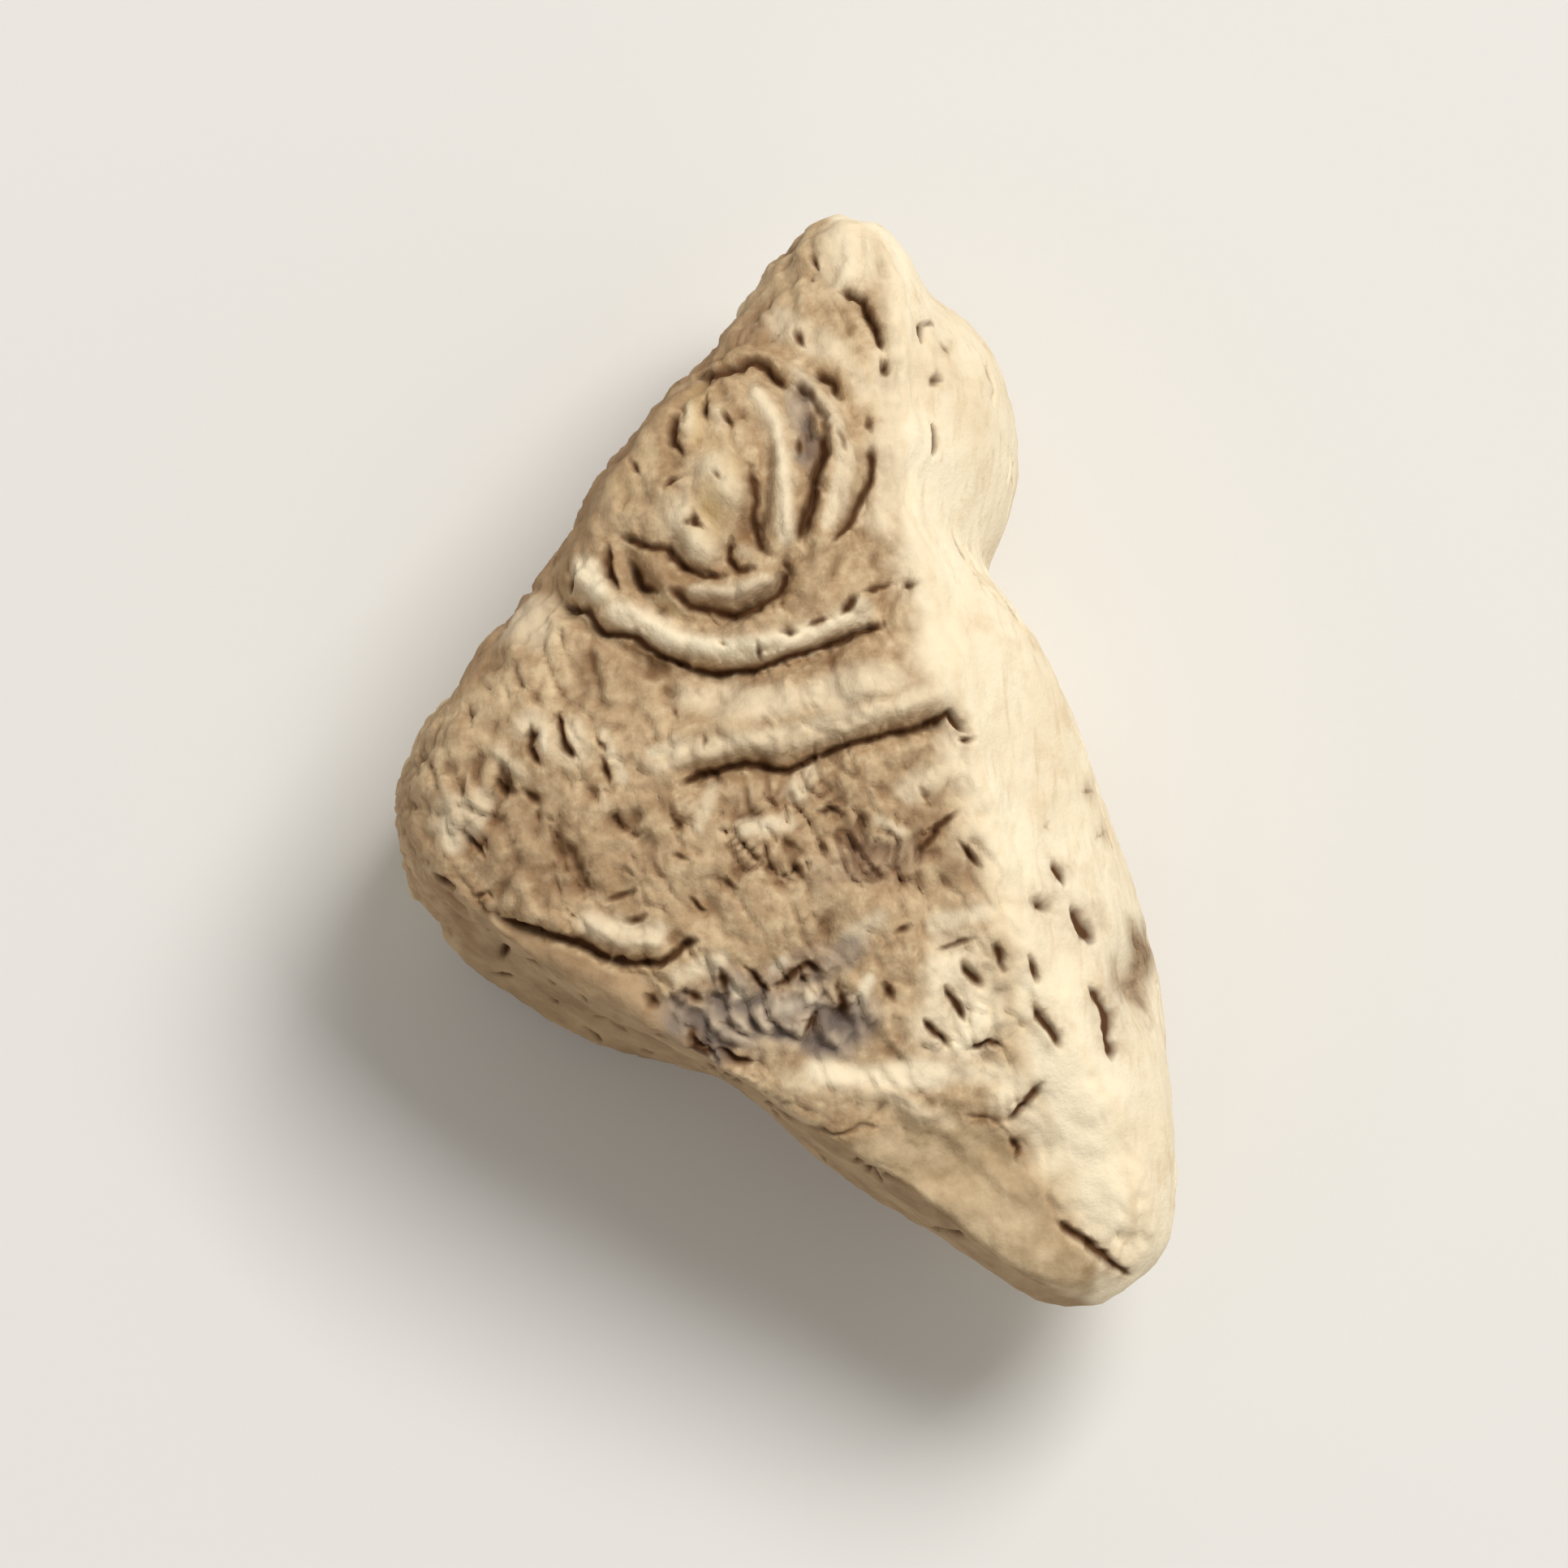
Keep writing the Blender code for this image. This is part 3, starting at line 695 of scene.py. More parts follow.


# Patches of colour and texture: half width, strength and path of each band.
# Pale bands: partly paler tissue, partly painted highlight on lit crests, lips and the nub.
PALE_AND_LIT_PATCHES = (
    (0.75, 0.9, ((1.2, 7.95), (1.25, 7.6))),
    (0.12, 1.3, ((-3.64, 0.24), (-3.6, 0.0))),
    (0.11, 1.0, ((-3.25, 0.4), (-3.1, 0.0))),
    (0.15, 0.6, ((-2.7, 0.25), (-2.4, -0.45))),
    (0.20, 0.7, ((-1.93, -0.07), (-1.46, 0.0))),
    (0.20, 0.7, ((-0.53, -1.23), (0.17, -1.15))),
    (0.18, 0.5, ((-1.23, -1.23), (-1.0, -0.6))),
    (0.20, 0.6, ((-4.8, -1.3), (-4.57, -0.77))),
    (0.22, 0.7, ((-5.2, -1.08), (-5.1, -1.47))),
    (0.20, 0.7, ((-1.55, -3.5), (-0.85, -3.25))),
    (0.11, 1.3, ((-0.7, -3.65), (-0.53, -3.95))),
    (0.22, 0.7, ((0.3, -0.67), (0.47, -0.32))),
    (0.15, 0.6, ((1.96, -1.29), (1.6, -1.1))),
    (0.25, 0.6, ((1.6, -2.6), (1.17, -2.86))),
    (0.28, 0.6, ((2.05, -0.67), (2.66, -0.32))),
    (0.24, 0.8, ((3.36, -2.5), (2.5, -2.7))),
    (0.15, 1.1, ((1.26, -3.95), (1.44, -3.56))),
    (0.13, 1.0, ((-0.05, -3.42), (0.1, -3.3))),
    (0.12, 0.9, ((0.56, -3.85), (0.12, -4.05))),
    (0.33, 0.8, ((2.05, -4.96), (3.5, -5.05))),
    (0.35, 0.6, ((0.1, 6.6), (0.9, 6.2), (1.4, 5.5))),
    (0.45, 0.7, ((1.75, 6.2), (1.7, 4.6), (1.6, 3.6))),
    (0.34, 1.3, ((-2.95, 2.75), (-2.78, 2.4))),
    (0.33, 1.2, ((-2.5, 2.1), (-1.6, 1.7), (-0.6, 1.5), (0.4, 1.7), (1.3, 2.1))),
    (0.20, 0.9, ((-0.3, 5.5), (0.0, 5.0), (0.12, 4.2), (0.14, 3.3))),
    (0.17, 0.8, ((0.5, 5.55), (0.98, 4.9), (1.0, 4.3), (0.8, 3.5))),
    (0.60, 0.6, ((-4.2, 2.1), (-3.8, 2.0))),
    (0.40, 0.6, ((-3.8, 0.3), (-3.2, 0.0))),
    (0.45, 0.6, ((-1.4, 0.75), (0.2, 0.75), (1.8, 1.1))),
    (0.26, 0.6, ((-1.6, 0.0), (-0.2, 0.15), (1.2, 0.5), (2.5, 0.9))),
    (0.85, 1.2, ((3.0, -3.4), (2.8, -4.4))),
    (0.60, 0.7, ((2.6, 2.0), (2.9, 0.4))),
    (0.33, 1.0, ((0.6, -5.0), (1.6, -5.1), (2.6, -5.0))),
    (0.30, 0.8, ((-2.9, -2.75), (-1.9, -2.85))),
    (0.40, 0.5, ((-5.2, -1.2), (-5.0, -0.9))),
)
CREAM_PATCHES = (
    (0.80, 1.2, ((4.2, -3.6), (4.5, -5.0), (4.9, -6.2), (5.15, -7.4))),
    (0.55, 0.8, ((3.7, -5.3), (4.4, -6.3))),
    (0.40, 0.8, ((3.7, -1.2), (4.1, -3.0))),
)
# Brown bands: partly the bark's mottling, partly painted shade.
BROWN_AND_SHADE_PATCHES = (
    (0.75, 1.35, ((-5.8, -2.2), (-5.2, -2.5))),
    (0.60, 0.7, ((-6.1, -0.6), (-5.6, -1.6))),
    # This band along the top left edge is partly brown bark, partly a painted shadow.
    (0.75, 1.1, ((-5.0, 1.2), (-3.2, 3.6), (-1.9, 5.6), (-0.9, 7.0))),
    (0.25, 0.6, ((-4.73, 0.0), (-5.04, 0.32))),
    (0.30, 0.7, ((-3.96, -1.7), (-4.0, -1.94))),
    (0.28, 0.7, ((-3.26, -1.78), (-2.56, -1.78))),
    (0.20, 0.9, ((-0.85, -0.85), (-0.77, -1.0))),
    (0.20, 0.9, ((-0.85, -1.55), (-0.8, -1.58))),
    (0.13, 0.8, ((-1.55, -1.62), (-1.23, -1.62))),
    (0.20, 0.6, ((-1.78, -0.85), (-1.93, -0.53))),
    (0.28, 0.5, ((-2.63, 1.33), (-2.25, 1.72))),
    (0.38, 0.6, ((1.26, -1.64), (1.79, -1.81))),
    (0.16, 0.8, ((1.6, -0.76), (1.62, -0.7))),
    (0.13, 0.8, ((1.26, -0.32), (1.35, -0.6))),
    (0.20, 0.6, ((1.44, -2.4), (1.87, -2.07))),
    (1.10, 0.15, ((-0.6, -1.3), (1.8, -1.6))),
    (0.30, 0.6, ((2.0, -0.9), (2.9, -2.0))),
    (0.80, 0.55, ((-4.2, -1.4), (-2.4, -1.9))),
    (0.55, 0.45, ((-2.6, -2.35), (-1.2, -2.6))),
    (0.60, 0.9, ((-1.3, 6.1), (-0.2, 6.6))),
    (0.20, 1.2, ((-0.46, 4.2), (-0.47, 3.6), (-0.52, 3.1))),
    (0.26, 1.0, ((-2.0, 2.75), (-1.2, 2.35), (-0.3, 2.5))),
    (0.22, 0.9, ((0.62, 4.6), (0.45, 3.6))),
    (0.40, 0.5, ((-2.9, 1.4), (-2.2, 1.0))),
)
CHARCOAL_PATCHES = (
    (0.66, 1.0, ((-1.25, -4.2), (0.2, -4.25), (1.1, -4.3))),
    (0.35, 0.7, ((-0.9, -3.65), (0.6, -3.4), (1.2, -3.1))),
    (0.34, 0.9, ((0.35, 5.5), (0.5, 4.6))),
    (0.50, 0.15, ((0.8, -1.9), (2.0, -1.5))),
)
OCHRE_PATCHES = (
    (0.42, 1.3, ((-1.2, 3.3), (-0.8, 4.3), (-1.0, 4.6))),
    (0.50, 0.45, ((-4.0, 2.6), (-1.9, 5.6), (-0.9, 7.0))),
    (0.30, 0.8, ((-1.3, 4.8), (-1.2, 5.5))),
    (0.40, 0.35, ((-2.5, 3.9), (-2.1, 4.5))),
)
# The nick: painted shade in the hollow at the right edge.
NICK_SHADE_PATCHES = (
    (0.52, 1.2, ((5.90, -2.85), (5.74, -3.3), (5.56, -3.65))),
)
ROUGH_PATCHES = (
    (1.40, 1.0, ((-0.4, -1.4), (1.8, -1.5))),
    (1.00, 0.8, ((-0.9, -4.0), (1.0, -3.9))),
    (1.40, 0.9, ((-4.6, -0.6), (-2.6, -1.4))),
    (0.90, 0.6, ((-2.4, 4.2), (-1.4, 5.2))),
)
SMOOTH_PATCHES = (
    (0.60, 0.9, ((1.0, -5.9), (2.4, -6.2), (3.8, -7.2))),
    (0.80, 0.9, ((4.4, -4.6), (5.0, -7.0))),
    (0.60, 0.5, ((1.9, 4.8), (2.4, 1.4))),
    (0.60, 0.9, ((-5.0, 1.2), (-3.2, 3.6), (-1.9, 5.6), (-0.9, 7.0))),
)

# Borders drawn from left to right, below which the tan facet and the lower left cut lie.
TAN_FACET = (
    (0.3, -5.75),
    (0.74, -5.92),
    (1.52, -5.84),
    (2.22, -5.66),
    (3.1, -5.75),
    (3.54, -5.92),
    (3.8, -6.19),
    (4.06, -6.71),
    (4.37, -7.15),
    (4.59, -7.54),
    (4.9, -7.85),
)
LOWER_LEFT_CUT = (
    (-4.95, -2.6),
    (-4.3, -2.78),
    (-3.3, -3.05),
    (-2.57, -3.4),
    (-1.9, -3.5),
    (-1.5, -4.2),
    (-1.2, -5.0),
    (-0.4, -5.35),
)

# Slopes between which a mask sets in, by the normals: faces that turn up, the bark's flank, and the side of
# the lower left cut, which turns away from the key light and gets painted shade.
UP_SLOPES = (0.15, 0.45)
FLANK_SLOPES = (0.25, 0.65)
LOWER_LEFT_WAY = (-0.536, -0.844, 0.0)
LOWER_LEFT_SLOPES = (0.55, 0.80)

# Heights between which the relief and the nick set in, the raggedness of borders, the softness of the bark's
# border, and how the bark wraps the left end.
RELIEF_FROM_Z = (0.15, 0.8)
NICK_FROM_Z = (2.6, 4.0)
RAGGED_LENGTH = 0.7
FINE_RAGGED_LENGTH = 0.25
BARK_BORDER = (-0.12, 0.16)
LEFT_END_X = -4.9
LEFT_END_BORDER = (-0.15, 0.15)
LEFT_END_FROM_Z = (1.8, 3.0)


def regions(points, normals, x, y):
    """Where bark, flesh, the tan, charcoal and painted shade lie, and how ragged and how rough each place is.
    """
    lead = bark_lead(points)
    ragged = uneven(points, RAGGED_LENGTH)
    fine_ragged = uneven(points + 40.0, FINE_RAGGED_LENGTH)
    up = smooth_step(normals[:, 2], *UP_SLOPES)
    lower_left = below(x, y + 0.05 * fine_ragged, LOWER_LEFT_CUT, 0.12)
    lower_left *= normals[:, 0] + normals[:, 1] < 0.5
    tan = below(x, y + 0.10 * fine_ragged, TAN_FACET, 0.24) * up
    bark = smooth_step(lead + 0.14 * ragged + 0.10 * fine_ragged, *BARK_BORDER) * (1.0 - lower_left)
    left_end = smooth_step(LEFT_END_X - points[:, 0] + 0.12 * ragged, *LEFT_END_BORDER)
    bark = np.maximum(bark, left_end * smooth_step(points[:, 2] + ragged, *LEFT_END_FROM_Z))
    flank = bark * (1.0 - smooth_step(normals[:, 2], *FLANK_SLOPES))
    rough = np.maximum(patch(x, y, ROUGH_PATCHES, 0.35 * ragged), 0.5)
    rough *= 1.0 - np.maximum(patch(x, y, SMOOTH_PATCHES, 0.3 * ragged) * up, tan)
    rough *= 1.0 - 0.3 * flank
    charcoal = patch(x, y, CHARCOAL_PATCHES, 0.5 * ragged + 0.3 * fine_ragged) * up
    # Faces turned down to the left, away from the key light, get painted shade.
    turned_from_key = smooth_step(normals @ LOWER_LEFT_WAY, *LOWER_LEFT_SLOPES) * (1.0 - bark)
    return SimpleNamespace(
        lead=lead,
        ragged=ragged,
        fine_ragged=fine_ragged,
        up=up,
        bark=bark,
        flesh=1.0 - bark,
        flank=flank,
        rough=rough,
        tan=tan,
        charcoal=charcoal,
        lower_left=lower_left,
        painted_shade_and_browning=np.maximum(lower_left, turned_from_key),
    )


def root_scars(points):
    """Height, pit and rim of the scars that thin roots left in the bark's flank."""
    height = np.zeros(len(points))
    pit = np.zeros(len(points))
    rim = np.zeros(len(points))
    out_of_round = 1.0 + 0.40 * uneven(points + 8.0, 0.5)
    middles = on_body(directions_of(np.array([place for _, place in ROOT_SCARS])))
    for (radius, _), middle in zip(ROOT_SCARS, middles):
        away = np.linalg.norm(points - middle, axis=1) * out_of_round
        pit = np.maximum(pit, bell(away, 0.45 * radius))
        rim = np.maximum(rim, bell(away - radius, 0.45 * radius))
        height += ROOT_RIM * bell(away - radius, 0.5 * radius) - ROOT_PIT * bell(away, 0.5 * radius)
    return height, pit, rim


def bark_texture(points, x, y, there):
    """Height of the lumps, the wrinkles, and the folds and lumps of the flank."""
    ragged = there.ragged
    height = np.zeros(len(points))
    for length, rise in LUMPS:
        height += rise * uneven(points - 15.0, length) * (0.3 + 0.7 * there.bark * (0.3 + 0.7 * there.rough))
    for across, along, lean, width, depth in WRINKLES:
        valley = bell(wrinkle(points, x + 0.1 * ragged, y + 0.5 * ragged, across, along, lean), width)
        valley = depth * valley * there.bark * there.rough
        height -= valley * smooth_step(there.fine_ragged + ragged, -0.6, 0.4)
    folded = np.stack([points[:, 0], points[:, 1] / FOLD_SHARE + 0.5 * ragged, points[:, 2]], axis=1)
    height -= FOLD_DEPTH * bell(uneven(folded, FOLD_LENGTH), FOLD_WIDTH) * there.flank
    return height + FLANK_LUMP_HEIGHT * uneven(points + 70.0, FLANK_LUMP_LENGTH) * there.flank


def fibres(points):
    """Fine ribs of fibre along the cut faces, between about -1 and 1."""
    lean = math.radians(FIBRE_LEAN)
    over = (points[:, 0] * math.sin(lean) - points[:, 1] * math.cos(lean)) / FIBRE_WIDTH
    on = (points[:, 0] * math.cos(lean) + points[:, 1] * math.sin(lean)) / FIBRE_LENGTH
    return uneven(np.stack([over, on, points[:, 2] / FIBRE_WIDTH], axis=1), 1.0)


def fine_relief(points, normals, seen, slits, creases):
    """Height of the fine relief, and the named masks that the material reads."""
    x, y = as_seen(seen)
    there = regions(points, normals, x, y)
    ragged = there.ragged
    up = there.up

    line_x = x.copy()
    line_y = y.copy()
    for reach, length in CRACK_WANDER:
        line_x += reach * uneven(points + 90.0, length)
        line_y += reach * uneven(points - 90.0, length)
    swell = 1.0 + CRACK_SWELL * uneven(points + 60.0, CRACK_SWELL_LENGTH)
    crack_depth, crack_shade, halo = lines(line_x, line_y, FINE_CRACKS, swell)
    ridge_height, ridge_highlight, _ = lines(line_x, line_y, FINE_RIDGES, swell)
    slit_depth, slit_shade = short_line_forms(points, slits)
    crease_depth, crease_shade = short_line_forms(points, creases)
    root_height, root_pit, root_rim = root_scars(points)

    scales = smooth_step(uneven(points + 25.0, CHARCOAL_LENGTH), -0.25, 0.25) - 0.6
    texture = bark_texture(points, x, y, there) + root_height * there.flank
    texture += CHARCOAL_HEIGHT * scales * there.charcoal * there.bark
    facing = smooth_step(normals[:, 2], 0.15, 1.0)
    above_floor = smooth_step(points[:, 2], *RELIEF_FROM_Z)
    height = ridge_height * up - crack_depth * facing - slit_depth * there.flesh
    height -= crease_depth * there.bark * (0.2 + 0.8 * there.rough)
    height += texture * above_floor
    height += GRAIN_HEIGHT * uneven(points + 3.0, GRAIN_LENGTH) * above_floor
    height += FIBRE_HEIGHT * fibres(points) * there.flesh * above_floor
    from_groove = there.lead + EDGE_GROOVE_PLACE + 0.12 * ragged
    height -= EDGE_GROOVE_DEPTH * bell(from_groove, EDGE_GROOVE_WIDTH) * above_floor

    # Dark in the thin lines, slits, creases and root-scar pits: partly their own dark colour, partly painted
    # shade; a fine line's darkness grows with its depth.
    crack = np.maximum(crack_shade * up, slit_shade * there.flesh)
    crack = np.maximum(crack, 0.65 * crease_shade * there.bark * there.rough)
    crack = np.maximum(crack, 0.8 * root_pit * there.flank)
    # The pale mask: paler tissue, with painted highlight on the raised ridges and the rims of the root scars.
    rim = bell(there.lead - 0.15 + 0.2 * ragged, 0.30) * smooth_step(x, 1.0, 2.2)
    cream = patch(x, y, CREAM_PATCHES, 0.3 * ragged) * (1.0 - there.tan)
    pale = np.maximum(patch(x, y, PALE_AND_LIT_PATCHES, 0.4 * ragged), 0.75 * ridge_highlight)
    pale = np.maximum.reduce([pale, rim, 0.9 * cream]) * up * (1.0 - there.tan) * (1.0 - there.lower_left)
    not_under = smooth_step(normals[:, 2], -0.2, 0.2)
    masks = {
        "bark": there.bark * (1.0 - cream * up),
        "crack": crack,
        "halo": halo * up,
        "relief": RELIEF_MIDDLE + RELIEF_GAIN * texture,
        "pale": pale + 0.5 * root_rim * there.flank,
        "brown": patch(x, y, BROWN_AND_SHADE_PATCHES, 0.5 * ragged) * not_under * there.bark,
        "charcoal": there.charcoal,
        "ochre": patch(x, y, OCHRE_PATCHES, 0.4 * ragged) * up,
        "tan": there.tan,
        "painted_shade_and_browning": there.painted_shade_and_browning,
        "nick": patch(x, y, NICK_SHADE_PATCHES, 0.4 * ragged) * smooth_step(points[:, 2], *NICK_FROM_Z),
    }
    return height, masks


# Mesh fineness: cuts in each edge of the first icosahedron, rounds of evening out, and where the later splits
# are made.
FIRST_CUTS = 6
FIRST_ROUNDS = 25
SECOND_ROUNDS = 6
UNDERSIDE_SLOPE = -0.40
UPWARD_SLOPE = 0.35
FLANK_SLOPE = -0.10
CRACK_SHADE_SPLIT = 0.10
SLIT_SHADE_SPLIT = 0.03
FLESH_LEAD = -0.45


def spread_evenly(bm, rounds):
    """Move each vertex along the body towards the middle of its neighbours, so that the faces grow alike."""
    edges = np.array([(edge.verts[0].index, edge.verts[1].index) for edge in bm.edges])
    points = np.array([vert.co for vert in bm.verts])
    count = np.bincount(edges.ravel(), minlength=len(points))[:, None]
    for _ in range(rounds):
        total = np.zeros_like(points)
        np.add.at(total, edges[:, 0], points[edges[:, 1]])
        np.add.at(total, edges[:, 1], points[edges[:, 0]])
        points = on_body(directions_of(total / count))
    for vert, point in zip(bm.verts, points):
        vert.co = point


def body_places(bm):
    """Where the mesh's vertices lie on the body, and the normals there."""
    points = on_body(directions_of(np.array([vert.co for vert in bm.verts])))
    return points, body_normals(points)


def split_where(bm, wanted):
    """Halve the edges of each wanted vertex and keep the mesh triangular."""
    edges = [edge for edge in bm.edges if wanted[edge.verts[0].index] or wanted[edge.verts[1].index]]
    bmesh.ops.subdivide_edges(bm, edges=edges, cuts=1, use_grid_fill=True)
    bmesh.ops.triangulate(bm, faces=[face for face in bm.faces if len(face.verts) > 3])
    bm.verts.index_update()
    bm.edges.index_update()


def near_detail(points, normals, slits):
    """Whether each point lies on or beside a thin line or a slit."""
    x, y = as_seen(points + normals * broad_relief(points, normals)[:, None])
    _, crack_shade, _ = lines(x, y, FINE_CRACKS, np.ones(len(points)))
    _, slit_shade = short_line_forms(points, slits)
    return ((crack_shade > CRACK_SHADE_SPLIT) & (normals[:, 2] > 0.1)) | (slit_shade > SLIT_SHADE_SPLIT)


def chunk_mesh():
    """The chunk as one closed mesh in metres, finest on its thin lines, with its masks as attributes."""
    slits = short_lines(SLIT_SEED, SLIT_TRIES, on_cut, fibre_in_cut, SLIT_SIZES)
    creases = short_lines(CREASE_SEED, CREASE_TRIES, on_bark, crease_in_bark, CREASE_SIZES)
    bm = bmesh.new()
    bmesh.ops.create_icosphere(bm, subdivisions=1, radius=1.0)
    bmesh.ops.subdivide_edges(bm, edges=bm.edges[:], cuts=FIRST_CUTS, use_grid_fill=True)
    bmesh.ops.triangulate(bm, faces=bm.faces[:])
    bm.verts.index_update()
    for vert in bm.verts:
        vert.co += HEART
    spread_evenly(bm, FIRST_ROUNDS)
    split_where(bm, np.ones(len(bm.verts), bool))
    spread_evenly(bm, SECOND_ROUNDS)
    split_where(bm, np.ones(len(bm.verts), bool))
    points, normals = body_places(bm)
    split_where(bm, (normals[:, 2] > UNDERSIDE_SLOPE) | near_detail(points, normals, slits))
    points, normals = body_places(bm)
    bark_flank = (normals[:, 2] > FLANK_SLOPE) & on_bark(points, normals)
    bark_side = (normals[:, 2] > UPWARD_SLOPE) & (bark_lead(points) > FLESH_LEAD)
    split_where(bm, bark_side | bark_flank | near_detail(points, normals, slits))
    points, normals = body_places(bm)
    split_where(bm, near_detail(points, normals, slits))
    points, normals = body_places(bm)

    broad = broad_relief(points, normals)
    plain = points + normals * broad[:, None]
    plain[:, 2] = np.maximum(plain[:, 2], RESTING_PARE)
    low = plain.min(axis=0)
    high = plain.max(axis=0)
    origin = np.array([0.5 * (low[0] + high[0]), 0.5 * (low[1] + high[1]), low[2]])
    fine, masks = fine_relief(points, normals, plain, slits, creases)
    surface = points + normals * (broad + fine)[:, None]
    surface[:, 2] = np.maximum(surface[:, 2], RESTING_PARE)
    surface = (surface - origin) * MM
    box_low, box_high = (np.array(corner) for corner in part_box("root_chunk"))
    surface[:, 0] *= min(1.0, box_high[0] / surface[:, 0].max(), box_low[0] / surface[:, 0].min())
    surface[:, 1] *= min(1.0, box_high[1] / surface[:, 1].max(), box_low[1] / surface[:, 1].min())
    surface[:, 2] *= min(1.0, box_high[2] / surface[:, 2].max())
    for vert, point in zip(bm.verts, surface):
        vert.co = point
    bmesh.ops.recalc_face_normals(bm, faces=bm.faces)
    mesh = bpy.data.meshes.new("wild_yam_chunk")
    bm.to_mesh(mesh)
    bm.free()
    for name, values in masks.items():
        attribute = mesh.attributes.new(name, "FLOAT", "POINT")
        attribute.data.foreach_set("value", values.astype(np.float32))
    mesh.shade_smooth()
    return mesh


def linear(red, green, blue):
    """A colour given in screen values from 0 to 255, as the shader wants it."""
    return (*[(value / 255.0) ** 2.2 for value in (red, green, blue)], 1.0)


class Shader:
    """Short ways to add the nodes of one material."""

    def __init__(self, material):
        self.tree = material.node_tree
        self.place = self.tree.nodes.new("ShaderNodeTexCoord").outputs["Object"]

    def node(self, kind, values, links):
        """A node with the given values and links on its inputs."""
        made = self.tree.nodes.new(kind)
        for name, value in values.items():
            made.inputs[name].default_value = value
        for name, source in links.items():
            self.tree.links.new(source, made.inputs[name])
        return made

    def mask(self, name):
        """One of the mesh's named masks."""
        made = self.tree.nodes.new("ShaderNodeAttribute")
        made.attribute_name = name
        return made.outputs["Fac"]

    def mottle(self, length, detail, stretch=(1.0, 1.0, 1.0)):
        """Noise with waves of the given length in millimetres, longer along an axis with a larger stretch."""
        scale = tuple(1000.0 / length / share for share in stretch)
        mapping = self.node("ShaderNodeMapping", {"Scale": scale}, {"Vector": self.place})
        values = {"Scale": 1.0, "Detail": detail, "Roughness": 0.6}
        return self.node("ShaderNodeTexNoise", values, {"Vector": mapping.outputs[0]}).outputs["Fac"]

    def ramp(self, source, low, high, to_low=0.0, to_high=1.0):
        """The source carried from one range to another and held inside it."""
        values = {"From Min": low, "From Max": high, "To Min": to_low, "To Max": to_high}
        return self.node("ShaderNodeMapRange", values, {"Value": source}).outputs["Result"]

    def times(self, a, b):
        """Two values multiplied; the second may be a plain number."""
        made = self.tree.nodes.new("ShaderNodeMath")
        made.operation = "MULTIPLY"
        self.tree.links.new(a, made.inputs[0])
        if isinstance(b, (int, float)):
            made.inputs[1].default_value = b
        else:
            self.tree.links.new(b, made.inputs[1])
        return made.outputs[0]

    def blend(self, share, first, second):
        """First and second colour mixed by share. Each is a colour or a link."""
        made = self.tree.nodes.new("ShaderNodeMix")
        made.data_type = "RGBA"
        self.tree.links.new(share, made.inputs["Factor"])
        for socket, colour in ((made.inputs[6], first), (made.inputs[7], second)):
            if isinstance(colour, tuple):
                socket.default_value = colour
            else:
                self.tree.links.new(colour, socket)
        return made.outputs[2]

    def over(self, colour, mask, share, new):
        """A colour with a new one laid over it in the given share, where the mask is."""
        return self.blend(self.times(mask, share), colour, new)

    def layers(self, colour, rows):
        """A colour with more laid over it: source, start, end, share and colour of each."""
        for source, start, end, share, new in rows:
            colour = self.blend(self.ramp(source, start, end, 0.0, share), colour, linear(*new))
        return colour


